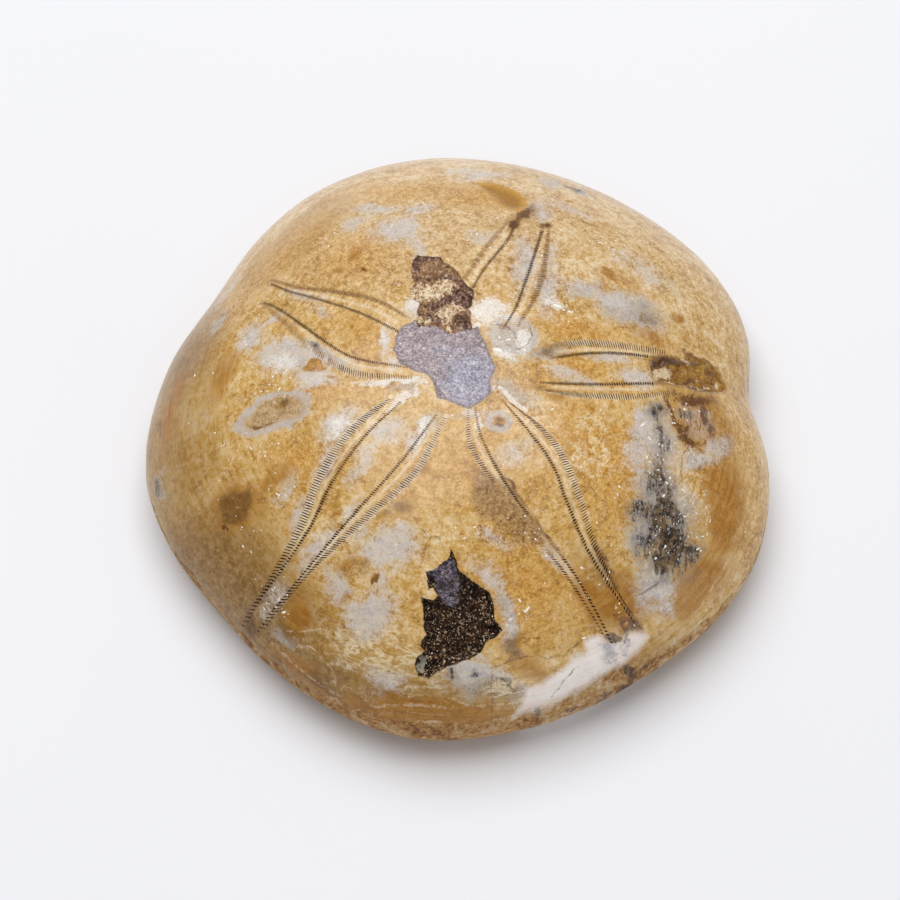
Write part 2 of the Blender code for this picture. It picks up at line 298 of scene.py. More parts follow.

# Stains, painted shade and painted light: place, half length, half width, turn and strength.
STAINS = {
    # Darker towards the rear and right rim: painted shade, partly the stone's browner colour.
    "bronze": (
        (-36.5, -6.0, 16.0, 6.0, 94, 0.3), (-28.0, -27.0, 18.0, 9.0, -47, 1.9),
        (-9.0, -39.5, 22.0, 5.0, -10, 0.75), (18.0, -37.0, 12.0, 3.0, 33, 0.5),
        (-35.0, 7.0, 12.0, 5.0, 75, 0.8), (-21.5, 22.0, 9.0, 3.0, 45, 0.0),
        (-15.5, -35.0, 6.0, 2.6, -25, 0.9), (18.0, -26.5, 4.5, 2.8, -50, 0.3),
    ),
    "honey": (
        (17.0, -11.0, 8.0, 11.0, 60, 0.9), (16.0, 5.5, 9.0, 1.6, 3, 0.8),
        (8.0, -28.0, 8.0, 6.0, 0, 0.7), (-13.0, 17.0, 7.0, 4.0, 10, 0.6),
        (-18.5, -11.0, 6.0, 3.0, -10, 0.8), (-9.5, 2.5, 4.0, 3.0, 0, 0.5),
        (20.5, 13.0, 3.0, 1.5, -10, 0.9), (2.0, -12.0, 10.0, 7.0, 0, 0.4),
        (-5.0, -15.0, 6.0, 5.0, 0, 0.5), (-17.0, -3.2, 5.5, 1.5, -6, 0.9),
        (-12.0, 5.0, 5.0, 2.0, -25, 0.6), (3.0, 27.0, 6.0, 2.5, 0, 0.7),
        (-8.0, 29.0, 8.0, 2.0, -3, 0.5), (5.5, 9.0, 1.4, 0.6, 0, 0.9),
        (15.5, 0.2, 4.0, 1.3, 0, 0.8), (-22.0, 20.0, 9.0, 4.0, 45, 0.5),
        (-0.5, -14.0, 5.0, 4.0, 0, 0.6),
    ),
    "amber": (
        (33.0, -14.5, 6.5, 3.0, 80, 1.0), (29.7, -23.5, 5.5, 2.2, 45, 1.0),
        (33.4, -6.5, 3.4, 1.0, 82, 0.8), (29.6, -3.4, 3.8, 4.4, 0, 0.45),
        (6.2, 4.6, 1.2, 0.5, -35, 1.6), (-27.0, -15.6, 3.2, 2.8, 0, 0.8),
        (-13.0, 17.5, 1.1, 0.8, 60, 0.5), (-11.9, 14.6, 0.6, 0.5, 0, 0.8),
        (-15.0, 14.5, 0.8, 0.7, 0, 0.5), (-29.5, 1.5, 4.0, 1.6, 70, 0.3),
        (-36.0, 0.0, 5.0, 1.4, 82, 0.8), (-12.5, -24.6, 1.4, 0.9, 10, 0.9),
        (-13.4, -27.5, 1.2, 0.8, 60, 0.6), (-9.8, -25.8, 0.6, 0.4, -9, 1.0),
        (-18.0, -34.5, 6.0, 0.8, -40, 0.8), (-8.0, -39.8, 11.0, 2.4, -6, 1.0),
        (3.0, -40.6, 8.0, 1.2, 6, 1.0), (0.3, -39.4, 5.2, 0.6, -2, 0.9),
        (8.6, -34.9, 4.0, 0.9, -25, 0.4), (2.6, -15.4, 1.0, 2.2, 10, 1.0),
        (20.4, -26.8, 1.8, 3.0, 30, 0.8), (15.9, -27.5, 1.4, 3.2, 32, 0.9),
        (27.5, 10.4, 0.9, 0.9, 20, 1.2), (24.5, 6.2, 1.6, 0.8, -20, 0.5),
        (19.6, 14.6, 2.6, 0.7, -10, 0.7), (-4.6, -14.2, 1.2, 0.9, 30, 0.5),
        (12.0, -4.5, 1.6, 0.7, 20, 0.4), (-22.3, -13.0, 2.6, 0.9, 20, 0.5),
        (24.5, -27.5, 2.2, 0.8, 40, 0.7), (4.9, -8.6, 1.1, 0.9, 0, 0.7),
        (19.0, -28.2, 2.6, 1.6, -50, 1.1), (-19.6, -29.0, 1.6, 2.6, -10, 1.2),
    ),
    "grey": (
        (21.8, 9.6, 4.4, 2.6, -12, 1.0), (16.2, 11.6, 2.8, 1.5, 15, 0.7),
        (24.3, -8.0, 2.8, 4.4, 5, 1.0), (24.0, -14.5, 3.4, 3.4, 10, 1.0),
        (27.4, -16.0, 2.0, 3.2, 5, 1.0), (23.6, -25.0, 2.8, 3.0, -25, 1.0),
        (22.0, -19.5, 1.8, 3.2, -10, 1.0), (-22.4, -5.0, 4.4, 2.2, 14, 0.4),
        (-15.6, 1.8, 3.8, 1.0, -38, 1.0), (7.0, 3.2, 3.0, 2.7, 0, 1.0),
        (12.2, 32.3, 1.4, 1.6, 0, 0.8), (16.0, 31.4, 1.9, 0.9, -20, 0.9),
        (2.8, -36.6, 4.6, 1.9, -4, 0.9), (5.7, -29.6, 1.1, 3.6, 8, 1.0),
        (-21.4, -30.2, 1.8, 0.5, -45, 0.9), (7.2, -37.6, 1.0, 1.6, -15, 0.8),
        (10.8, 1.6, 2.6, 0.9, 15, 0.7), (-3.2, -8.2, 2.2, 1.2, 50, 0.6),
        (6.8, -4.4, 3.4, 1.2, -35, 0.5), (-37.4, -9.6, 1.6, 0.8, 80, 0.1),
        (29.4, -10.2, 2.6, 0.9, 30, 0.8), (-6.0, -3.6, 2.0, 0.7, 10, 0.5),
        (-30.5, 11.5, 2.2, 0.8, 65, 0.5),
    ),
    "inlay": (
        (-22.3, -5.0, 4.0, 1.6, 14, 1.0), (-12.4, -24.6, 1.6, 1.1, 0, 0.5),
        (23.8, -26.6, 1.4, 1.0, 30, 0.5),
    ),
    "drops": (
        (-17.7, 0.6, 1.6, 0.75, -8, 2.4), (-9.9, -26.0, 0.9, 0.6, 0, 1.6),
        (-15.6, -1.3, 1.2, 0.4, -8, 0.8), (-13.0, -24.4, 1.2, 0.7, 10, 0.5),
        (-21.6, -4.6, 1.6, 0.6, 15, 0.5), (5.2, -8.4, 0.7, 0.6, 0, 0.8),
    ),
    "rust": (
        (26.7, -4.9, 0.45, 2.2, 12, 1.0), (27.6, -6.6, 0.5, 1.6, 14, 1.0),
        (28.4, -6.2, 0.4, 2.0, 4, 1.0), (28.2, -7.4, 1.6, 0.9, 0, 0.8),
        (30.8, -3.2, 0.5, 2.2, 4, 0.7), (31.6, -5.0, 0.6, 1.6, 4, 0.6),
        (29.8, -1.0, 3.6, 0.7, 8, 0.7), (26.0, -2.8, 0.6, 1.2, 20, 0.6),
        (8.4, 24.2, 0.9, 2.2, -38, 1.0), (7.0, 21.8, 0.9, 0.6, 0, 1.0),
        (11.2, 22.6, 0.5, 0.7, 0, 0.9), (7.5, 19.7, 0.4, 0.3, 0, 0.9),
        (25.2, 3.6, 2.0, 0.6, -12, 0.8), (-15.3, -13.6, 0.8, 0.5, 50, 0.7),
        (17.6, -24.0, 1.0, 3.0, 32, 0.5), (21.4, -29.0, 0.8, 1.6, 35, 0.8),
        (10.6, -21.4, 0.4, 2.4, 45, 0.8), (6.6, -16.6, 0.35, 3.4, 48, 0.7),
        (-9.9, -26.0, 0.4, 0.32, 0, 5.0), (30.6, 5.2, 3.4, 0.4, -2, 0.6),
        (5.0, -8.8, 1.2, 0.3, 0, 0.7), (-11.8, 14.6, 0.4, 0.3, 0, 0.8),
        (-28.7, -17.5, 0.5, 0.35, -31, 4.0), (19.6, -29.4, 1.4, 0.7, -45, 0.6),
        (-25.6, -28.0, 1.6, 0.7, -50, 0.6),
    ),
    "pale": (
        (-7.4, 20.7, 3.2, 2.5, -20, 1.4), (-4.6, 24.4, 2.2, 1.4, 20, 0.8),
        (-10.5, 25.4, 3.6, 1.0, -8, 0.8), (-13.5, 23.0, 1.8, 1.0, 30, 0.7),
        (-5.2, 17.5, 1.0, 2.0, 0, 0.6), (-26.0, 6.8, 1.8, 2.5, -15, 1.5),
        (-23.4, 8.9, 1.9, 0.6, 12, 0.9), (-21.4, 2.8, 3.6, 2.4, -30, 1.9),
        (-17.6, -1.0, 2.8, 1.2, -20, 1.5), (-18.2, 1.6, 2.6, 1.6, -35, 1.6),
        (29.8, -4.4, 2.0, 2.2, 0, 0.05), (-19.4, 11.8, 2.4, 0.8, -30, 0.5),
        (-17.0, 8.6, 2.0, 0.7, -35, 0.4), (-14.3, -7.8, 2.8, 1.7, 32, 1.0),
        (-15.6, -12.0, 1.1, 2.6, -20, 0.9), (-8.2, -9.2, 2.4, 1.4, 30, 0.8),
        (-5.4, -10.5, 1.8, 1.2, 60, 0.9), (-11.4, -12.6, 2.6, 1.0, 50, 0.5),
        (-8.7, 2.8, 0.7, 2.2, -8, 1.0), (-7.6, 0.0, 0.6, 1.4, 20, 0.8),
        (-5.3, 8.2, 1.0, 1.6, -20, 1.0), (8.3, 14.6, 1.6, 4.6, -8, 1.0),
        (11.2, 10.6, 1.4, 3.6, -6, 0.9), (12.0, 15.8, 1.0, 3.0, -5, 0.5),
        (14.6, 12.6, 1.6, 1.2, 0, 0.7), (19.6, 11.0, 2.6, 1.0, 0, 0.7),
        (22.3, -0.2, 2.4, 1.5, -4, 1.0), (18.6, 2.1, 2.8, 0.7, 4, 1.0),
        (13.0, -1.0, 2.4, 0.9, -10, 0.5), (-20.6, -14.6, 1.0, 2.2, -25, 0.6),
        (-19.0, -18.4, 0.9, 2.6, -25, 0.7), (-8.3, -22.9, 3.8, 2.5, 8, 1.4),
        (-10.4, -30.0, 3.0, 2.4, 20, 1.4), (-9.0, -26.6, 1.2, 1.6, 0, 0.8),
        (-14.4, -26.4, 1.5, 1.9, 15, 0.9), (-8.6, -36.4, 2.5, 1.1, 2, 1.0),
        (-16.6, -22.2, 2.6, 1.3, 45, 0.8), (-12.8, -18.3, 1.6, 0.9, 45, 0.7),
        (-11.2, -19.8, 2.2, 0.8, 40, 0.6), (3.6, -26.0, 2.6, 0.9, -30, 0.8),
        (5.9, -31.6, 1.0, 2.0, 10, 0.9), (2.4, -35.6, 4.4, 0.9, -6, 0.9),
        (11.8, -23.4, 0.9, 2.0, 40, 0.9), (32.0, -6.8, 2.2, 1.5, 30, 0.7),
        (29.0, -9.4, 2.4, 1.2, 20, 0.9), (22.4, -6.4, 1.4, 2.2, 0, 0.8),
        (22.0, -10.4, 1.4, 2.4, -10, 0.8), (24.2, -26.0, 2.0, 2.2, -20, 0.8),
        (-22.2, -26.2, 0.9, 1.6, -40, 0.4), (28.3, -1.9, 0.9, 0.4, 0, 0.7),
        (30.9, -2.7, 0.6, 0.4, 0, 0.6), (31.3, -4.7, 0.5, 0.6, 0, 0.5),
        (29.5, -4.8, 0.3, 0.8, 0, 0.6), (7.2, -11.6, 2.2, 1.2, 30, 0.5),
        (4.0, -22.0, 2.4, 0.9, -20, 0.5), (2.0, 33.0, 4.0, 1.2, 0, 0.5),
        (1.8, 31.6, 1.4, 0.7, 20, 0.8), (10.6, 24.8, 1.6, 1.8, 0, 0.7),
        (15.6, -2.0, 2.0, 0.5, 0, 0.5), (-30.0, 17.0, 3.0, 0.8, 60, 0.4),
        (3.0, 19.6, 1.8, 1.0, 20, 0.3), (14.4, 26.4, 3.0, 1.0, -20, 0.3),
        (24.0, 17.0, 4.0, 1.6, -30, 0.3), (1.6, -6.9, 2.2, 0.6, 10, 0.9),
        (16.0, -33.9, 2.0, 1.4, 25, 0.4),
    ),
    "chalk": (
        (4.2, 7.1, 2.6, 1.7, -4, 1.0), (12.4, 8.4, 1.6, 0.9, -12, 0.9),
        (2.8, 5.0, 0.9, 0.6, 40, 0.8), (-21.2, 1.6, 1.6, 1.3, -28, 0.5),
        (-14.3, -8.0, 1.6, 0.9, 30, 0.5), (-5.6, 8.9, 0.6, 1.1, -15, 0.8),
        (-8.9, 3.6, 0.45, 1.6, -5, 0.8), (-7.6, -2.75, 4.6, 0.4, -4, 0.9),
        (-4.2, -9.2, 0.55, 2.4, -32, 1.0), (-6.6, -5.2, 3.0, 0.4, 38, 0.7),
        (6.2, -5.2, 3.0, 0.4, -38, 0.7), (8.2, 3.0, 0.8, 1.8, 0, 0.7),
        (5.4, 1.3, 1.6, 0.6, -20, 0.8), (2.6, -8.2, 0.4, 1.8, 12, 0.6),
        (-6.0, -4.4, 2.6, 0.35, 25, 0.6),
    ),
    "umber": (
        (-27.2, -15.4, 2.6, 2.2, 0, 2.2), (-9.8, -26.0, 0.8, 0.5, 0, 2.0),
        (29.0, -1.4, 3.4, 0.8, 4, 0.4), (4.4, -17.2, 1.8, 1.8, 0, 0.3),
        (-6.3, -18.1, 1.3, 1.2, -33, 0.45), (-8.3, -19.0, 0.8, 0.6, -10, 0.4),
        (11.2, 1.9, 1.8, 0.9, 13, 0.5), (7.4, 22.0, 2.2, 0.8, 52, 1.0),
        (7.2, 19.7, 0.5, 0.4, 12, 0.8), (11.2, 22.5, 0.7, 0.8, 60, 1.0),
        (23.6, 9.0, 1.5, 1.1, 0, 0.25), (15.0, 31.7, 1.4, 0.6, -25, 0.9),
        (28.2, -6.4, 1.6, 2.0, 8, 0.5), (7.0, -19.0, 1.0, 2.0, 48, 0.3),
        (-20.6, -30.0, 2.0, 1.0, -40, 0.35), (-16.6, -35.4, 3.4, 0.7, -32, 0.7),
        (6.5, -33.0, 1.0, 1.6, -40, 0.5), (5.0, -7.9, 0.5, 0.5, 0, 0.9),
        (24.6, -32.0, 1.6, 0.8, 30, 0.5), (-37.7, -2.2, 1.6, 0.9, -71, 0.5),
        (-21.3, -4.2, 0.9, 0.7, 10, 0.9), (-24.4, -6.4, 1.4, 0.4, -10, 0.7),
        (4.5, -37.6, 2.8, 1.5, 0, 0.35), (9.8, -3.5, 1.2, 0.5, 0, 0.4),
        (17.0, 24.0, 1.4, 0.4, -15, 0.6),
    ),
    "soot": (
        (26.0, -20.2, 2.8, 3.0, 10, 1.5), (25.2, -16.6, 1.6, 2.2, 0, 1.2),
        (21.8, -16.8, 1.6, 1.4, 0, 0.8), (24.0, -18.4, 3.0, 2.2, -30, 0.9),
        (28.4, -20.9, 1.6, 1.0, 20, 0.9), (24.6, -22.6, 0.9, 1.4, -15, 0.9),
        (24.7, -7.6, 0.6, 3.6, 3, 0.5), (24.9, -13.2, 1.0, 2.4, 0, 0.5),
        (24.4, -4.4, 1.2, 0.8, 20, 0.7), (28.1, -3.3, 0.9, 0.7, 0, 0.7),
        (-17.3, 3.2, 0.8, 0.45, -47, 1.0), (17.9, -36.1, 1.3, 0.5, 30, 1.2),
        (9.8, -39.1, 1.2, 0.4, 15, 1.0), (13.9, -37.8, 1.0, 0.4, 25, 0.9),
        (20.6, -34.7, 1.6, 0.45, 35, 1.2), (2.3, -35.8, 0.6, 0.3, 3, 0.7),
        (6.0, -36.9, 0.5, 0.2, -25, 0.9), (-0.8, -36.0, 0.5, 0.4, 1, 0.8),
        (16.0, 31.3, 0.8, 0.4, -20, 0.4), (-37.6, -9.6, 0.8, 0.5, 80, 0.2),
        (22.8, -20.4, 1.4, 2.0, -20, 0.7), (27.2, -17.6, 1.2, 1.6, 0, 0.8),
        (23.2, -14.0, 1.0, 1.6, 0, 0.5),
    ),
    "growth": (
        (16.0, -10.5, 8.0, 4.6, 62, 1.0), (-9.2, -33.5, 9.5, 3.3, -20, 1.0),
        (15.8, 14.8, 6.4, 2.4, -4, 1.0), (9.0, -7.0, 4.0, 3.0, 0, 0.7),
        (6.3, -37.3, 3.6, 2.9, 9, 1.0), (28.0, -12.0, 3.0, 6.0, 0, 0.6),
        (-13.5, -20.0, 4.5, 2.5, 45, 0.8),
    ),
    "crystal": (
        (25.6, 1.7, 1.0, 0.9, 0, 1.0), (24.9, 0.6, 0.7, 0.5, 30, 0.8),
        (33.7, 2.4, 0.3, 0.6, 0, 1.0), (-4.5, -35.2, 0.45, 0.5, 0, 1.0),
        (30.8, 1.0, 0.5, 0.4, 0, 0.7), (31.9, 1.9, 0.4, 0.3, 0, 0.6),
        (28.4, 4.2, 1.0, 0.4, 0, 0.5), (26.6, 0.4, 0.5, 0.3, 0, 0.6),
    ),
    "shadow": (
        (25.6, 3.2, 2.4, 0.6, 10, 1.0), (28.8, 1.5, 0.9, 0.4, 20, 1.0),
        (30.4, 0.0, 3.8, 1.0, 4, 0.8), (29.6, 2.0, 0.5, 0.4, 0, 0.8),
        (33.0, 3.9, 1.8, 0.5, -20, 0.3), (24.2, 1.6, 0.5, 1.2, 0, 0.8),
        (-1.0, -27.0, 1.4, 0.7, 20, 0.8), (0.8, -28.8, 0.9, 2.4, 20, 0.5),
        (31.6, 0.6, 1.8, 0.8, 10, 0.3),
    ),
    "blue_lobe": (
        (1.4, -2.6, 3.4, 3.4, 0, 1.0), (-2.2, 1.2, 1.6, 1.0, 0, 0.4),
    ),
    "band_dirt": (
        (20.8, -33.0, 0.7, 0.8, 0, 1.6), (21.1, -34.0, 0.5, 1.2, 15, 1.4),
        (18.7, -31.6, 0.6, 0.6, 0, 2.6), (19.8, -30.6, 0.5, 1.2, -30, 0.3),
    ),
    "band_blue": (
        (18.4, -32.9, 1.3, 1.0, -30, 0.8), (17.6, -32.6, 0.8, 0.5, 0, 0.5),
        (20.0, -31.4, 1.2, 0.8, 0, 0.3),
    ),
    # Paler over the left half of the dome, the side towards the lamp: painted light.
    "light": (
        (0.0, 22.0, 34.0, 14.0, 0, 0.9), (24.0, 14.0, 12.0, 10.0, 0, 0.5),
    ),
}

# The five petals. Each has two bands, and each band a row of short dashes nearest the petal's
# middle and a row of long slits outside it. A row is given by places along it, from the top out,
# and its darkness by pairs of how far along and how dark. The ground is the stone between the
# slits, from -1, browner than the rest, to 1, paler.
BANDS = {
    "front_left": {
        "dashes": ((11.5, 1.0), (15.9, 2.2), (19.6, 2.9), (24.0, 3.4), (28.6, 4.1)),
        "slits": ((10.5, 2.5), (16.4, 3.7), (20.5, 4.1), (25.0, 4.4), (28.9, 4.7)),
        "dash_tone": ((0.0, 0.2), (0.1, 0.9), (1.0, 1.0)),
        "slit_tone": ((0.0, 0.1), (0.2, 0.7), (0.35, 0.75), (0.5, 0.5), (1.0, 0.5)),
        "ground": ((0.0, 0.0), (0.2, 0.7), (0.7, 0.5), (1.0, -0.2)),
        "longest": 1.2,
    },
    "front_right": {
        "dashes": ((10.0, -2.6), (14.0, -2.4), (18.5, -1.8), (22.6, -0.9), (27.0, 0.2)),
        "slits": ((10.8, -3.6), (14.0, -3.8), (18.0, -3.5), (22.0, -2.9), (27.0, -1.0)),
        "dash_tone": ((0.0, 0.4), (0.1, 0.9), (1.0, 0.9)),
        "slit_tone": ((0.0, 0.5), (0.2, 0.65), (0.7, 0.6), (1.0, 0.4)),
        "ground": ((0.0, 0.5), (0.5, 0.6), (1.0, 0.2)),
        "longest": 1.1,
    },
    "right_front_fore": {
        "dashes": (
            (4.9, -4.6), (8.5, -8.9), (11.5, -13.1), (13.1, -17.2), (15.4, -22.0),
            (18.5, -26.2), (21.4, -29.2),
        ),
        "slits": (
            (6.2, -5.4), (9.6, -8.1), (12.3, -11.3), (14.2, -15.3), (16.1, -20.9),
            (18.6, -25.5), (20.9, -28.3),
        ),
        "dash_tone": ((0.0, 0.15), (0.15, 0.7), (0.3, 0.9), (1.0, 1.0)),
        "slit_tone": ((0.0, 0.2), (0.15, 0.55), (0.6, 0.6), (0.7, 1.0), (1.0, 0.9)),
        "ground": ((0.0, 0.9), (0.5, 0.6), (0.65, 0.0), (0.75, -0.6), (1.0, -0.5)),
        "longest": 1.2,
    },
    "right_front_aft": {
        "dashes": (
            (2.1, -6.2), (3.0, -10.3), (6.0, -15.9), (9.5, -20.2), (14.0, -25.2),
            (18.7, -31.7),
        ),
        "slits": (
            (1.2, -6.6), (1.6, -11.0), (3.9, -14.8), (8.0, -20.2), (12.3, -24.6),
            (17.6, -31.0),
        ),
        "dash_tone": (
            (0.0, 0.2), (0.15, 0.5), (0.25, 0.9), (0.42, 0.9), (0.48, 0.3), (0.62, 0.1),
            (0.72, 0.8), (1.0, 1.0),
        ),
        "slit_tone": (
            (0.0, 0.2), (0.15, 0.6), (0.27, 0.8), (0.33, 0.1), (0.62, 0.0), (0.72, 0.6),
            (1.0, 0.8),
        ),
        "ground": (
            (0.0, 0.9), (0.25, 0.3), (0.35, 0.0), (0.5, 0.3), (0.68, 0.5), (0.75, -0.4),
            (1.0, -0.4),
        ),
        "longest": 0.9,
    },
    "right_rear_aft": {
        "dashes": (
            (-6.8, -5.4), (-11.2, -9.5), (-15.0, -14.5), (-17.6, -19.3), (-21.2, -23.5),
            (-25.8, -27.5),
        ),
        "slits": (
            (-8.2, -4.9), (-12.9, -8.7), (-16.6, -13.8), (-18.9, -19.3), (-22.6, -24.3),
            (-26.4, -27.6),
        ),
        "dash_tone": ((0.0, 0.3), (0.15, 0.7), (0.4, 0.7), (0.55, 1.0), (1.0, 1.0)),
        "slit_tone": (
            (0.0, 0.4), (0.06, 0.95), (0.24, 0.9), (0.3, 0.3), (0.36, 0.9), (0.45, 0.65),
            (0.65, 0.9), (1.0, 1.0),
        ),
        "ground": ((0.0, 0.9), (0.6, 0.7), (0.75, 0.1), (0.9, -0.8), (1.0, -1.0)),
        "longest": 1.5,
    },
    "right_rear_fore": {
        "dashes": (
            (-2.5, -7.2), (-7.0, -13.2), (-12.2, -18.5), (-17.0, -23.1), (-20.9, -26.5),
            (-24.4, -28.9),
        ),
        "slits": (
            (-1.5, -7.6), (-5.0, -14.2), (-10.7, -19.0), (-15.7, -22.8), (-19.6, -25.9),
            (-23.6, -28.9),
        ),
        "dash_tone": ((0.0, 0.2), (0.1, 0.7), (0.4, 0.7), (0.6, 0.9), (1.0, 1.0)),
        "slit_tone": ((0.0, 0.2), (0.12, 0.55), (0.65, 0.6), (0.8, 0.9), (1.0, 1.0)),
        "ground": ((0.0, 0.9), (0.6, 0.7), (0.75, 0.1), (0.9, -0.8), (1.0, -1.0)),
        "longest": 1.2,
    },
    "left_rear_fore": {
        "dashes": ((-7.2, 4.3), (-11.8, 7.4), (-16.1, 9.9), (-20.9, 12.8), (-23.8, 15.3)),
        "slits": ((-6.3, 6.4), (-10.2, 9.3), (-15.1, 11.3), (-20.2, 13.4), (-23.9, 15.8)),
        "dash_tone": ((0.0, 0.8), (1.0, 0.7)),
        "slit_tone": ((0.0, 0.3), (0.5, 0.35), (1.0, 0.3)),
        "ground": ((0.0, -0.6), (0.5, -0.7), (1.0, -0.7)),
        "longest": 0.9,
    },
    "left_rear_aft": {
        "dashes": (
            (-6.0, -0.9), (-12.0, 0.7), (-15.5, 3.1), (-19.1, 6.7), (-22.4, 10.3),
            (-24.5, 12.2),
        ),
        "slits": (
            (-5.5, -2.3), (-12.4, -1.2), (-16.6, 1.9), (-20.2, 6.0), (-23.0, 9.9),
            (-24.7, 12.0),
        ),
        "dash_tone": ((0.0, 0.3), (0.2, 0.6), (0.4, 0.9), (1.0, 0.7)),
        "slit_tone": ((0.0, 0.3), (0.28, 0.5), (0.34, 0.85), (0.38, 0.2), (1.0, 0.15)),
        "ground": ((0.0, 0.3), (0.3, 0.5), (0.45, -0.3), (1.0, -0.7)),
        "longest": 1.2,
    },
    "left_front_aft": {
        "dashes": ((1.8, 10.4), (3.2, 13.4), (4.9, 16.3), (6.4, 19.0), (7.4, 21.8)),
        "slits": ((0.5, 11.3), (2.6, 15.3), (4.1, 18.2), (5.6, 20.7), (6.8, 22.8)),
        "dash_tone": ((0.0, 0.7), (1.0, 0.6)),
        "slit_tone": ((0.0, 0.2), (1.0, 0.25)),
        "ground": ((0.0, -0.5), (1.0, -0.5)),
        "longest": 1.0,
    },
    "left_front_fore": {
        "dashes": ((5.6, 4.6), (7.3, 8.1), (8.7, 12.6), (9.8, 16.8), (10.9, 21.3)),
        "slits": ((7.4, 5.0), (9.6, 9.6), (10.7, 13.5), (11.3, 17.7), (11.7, 21.3)),
        "dash_tone": ((0.0, 0.5), (0.2, 0.9), (1.0, 0.8)),
        "slit_tone": ((0.0, 0.3), (0.5, 0.4), (1.0, 0.3)),
        "ground": ((0.0, -0.4), (1.0, -0.6)),
        "longest": 1.1,
    },
}
# How finely a band's tints are laid, and how far round it and past its ends they reach.
BAND_STATIONS = 120
PETAL_REACH = 39.0
BAND_REACH = 3.0
BAND_OVERRUN = 0.5
# Pores stand closer together towards the top: distance from a row's inner end, and spacing.
FIRST_PORE = 0.12
PORE_SPACING = ((0.0, 0.295), (18.5, 0.3), (22.0, 0.345), (26.0, 0.385), (32.0, 0.39))
DASH_LENGTH = 0.44
DASH_WIDTH = 0.2
SLIT_WIDTH = 0.165
# How long the slits are at shares of a row, against its longest.
SLIT_REACH = ((0.0, 0.5), (0.15, 0.9), (0.5, 1.0), (0.8, 0.8), (1.0, 0.55))
PORE_PROUD = 0.012
PORE_SINK = 0.1
FAINTEST_PORE = 0.12
PORE_SEED = 11
# Small shapes are dropped on the skin from this height, in metres.
RAY_START = 0.05

# How far from the top the streaks of the stone have their given length.
STREAK_REACH = 28.0

# How each family of stains is laid: its share of the colour, where it begins and where it is
# full, and how much patches, flecks and sand fray its edge.
STAIN_LAYERS = {
    "light": (0.42, -0.3, 0.7, 1.0, 1.2, 0.9),
    "bronze": (0.8, -0.5, 0.8, 0.9, 1.4, 1.2),
    "honey": (0.65, -0.4, 0.8, 1.0, 1.2, 0.9),
    "amber": (0.85, -0.3, 0.5, 1.0, 1.2, 0.9),
    "grey": (0.8, -0.4, 0.6, 0.9, 1.5, 1.4),
    "pale": (0.82, -0.5, 0.8, 1.3, 2.0, 1.6),
    "chalk": (0.85, -0.3, 0.5, 0.5, 1.4, 1.0),
    "inlay": (0.75, -0.2, 0.3, 0.5, 1.0, 0.9),
    "drops": (0.95, -0.1, 0.5, 0.6, 1.6, 1.4),
    "umber": (0.85, -0.1, 0.45, 0.6, 1.6, 1.4),
    "rust": (0.85, -0.1, 0.45, 0.6, 1.8, 1.8),
}

# ---------------------------------------------------------------- camera, floor and light

# In metres.
CAMERA_PLACE = (-0.000886, -0.134509, 0.277528)
CAMERA_TILT = 26.0
CAMERA_LENS = 93.6
CAMERA_SENSOR = 36.0
FLOOR_RADIUS = 1.6
ROOM_COLOUR = (0.97, 0.98, 1.0, 1.0)
ROOM_BRIGHTNESS = 0.33
# Lamps: place, width, height, power, and the place they are aimed at. Lengths are in metres.
LAMPS = (
    ((-0.08, 0.26, 0.85), 0.8, 0.8, 6.8, (0.0, 0.0, 0.0)),
    ((0.62, -0.74, 0.15), 0.9, 0.28, 1.15, (0.0, 0.0, 0.01)),
)


def srgb(red, green, blue):
    """A colour given as 0 to 255 on a screen, as linear light."""
    levels = []
    for level in (red, green, blue):
        level = level / 255.0
        levels.append(level / 12.92 if level <= 0.04045 else ((level + 0.055) / 1.055) ** 2.4)
    return (*levels, 1.0)


# ---------------------------------------------------------------- working out the shape


def outline_distance(bearing):
    """Distance of the outline from the dome's top, on a smooth curve through RIM_OUTLINE."""
    count = len(RIM_OUTLINE)
    bearing = (bearing - RIM_OUTLINE[0][0]) % 360.0 + RIM_OUTLINE[0][0]
    start = max(i for i in range(count) if RIM_OUTLINE[i][0] <= bearing)
    near = []
    for i in range(start - 1, start + 3):
        turns, place = divmod(i, count)
        near.append((RIM_OUTLINE[place][0] + 360.0 * turns, RIM_OUTLINE[place][1]))
    (a0, r0), (a1, r1), (a2, r2), (a3, r3) = near
    slope_in = (r2 - r0) / (a2 - a0) * (a2 - a1)
    slope_out = (r3 - r1) / (a3 - a1) * (a2 - a1)
    t = (bearing - a1) / (a2 - a1)
    from_points = (2 * t**3 - 3 * t**2 + 1) * r1 + (3 * t**2 - 2 * t**3) * r2
    from_slopes = (t**3 - 2 * t**2 + t) * slope_in + (t**3 - t**2) * slope_out
    return from_points + from_slopes


def rim_distance(bearing):
    """Distance of the rim from the dome's top, with the frontal notch."""
    from_notch = (bearing - NOTCH_BEARING + 180.0) % 360.0 - 180.0
    notch = NOTCH_DEPTH * math.exp(-((from_notch / NOTCH_SPREAD) ** 2))
    return outline_distance(bearing) - notch


BEARINGS = np.arange(0.0, 361.0)
RIM = np.array([rim_distance(bearing) for bearing in BEARINGS])
ACROSS = RIM * np.cos(np.radians(BEARINGS))
ALONG = RIM * np.sin(np.radians(BEARINGS))
APEX = np.array((-(ACROSS.min() + ACROSS.max()) / 2, -(ALONG.min() + ALONG.max()) / 2))


def dome_height(share):
    """Height of the dome at a share of the way from its top to the rim."""
    rise = (1.0 - np.minimum(share, 1.0) ** DOME_ROUNDNESS) ** (1.0 / DOME_SHOULDER)
    return RIM_HEIGHT + (APEX_HEIGHT - RIM_HEIGHT) * rise


def fade(value):
    """Smooth step from 0 to 1."""
    value = np.clip(value, 0.0, 1.0)
    return value * value * (3.0 - 2.0 * value)


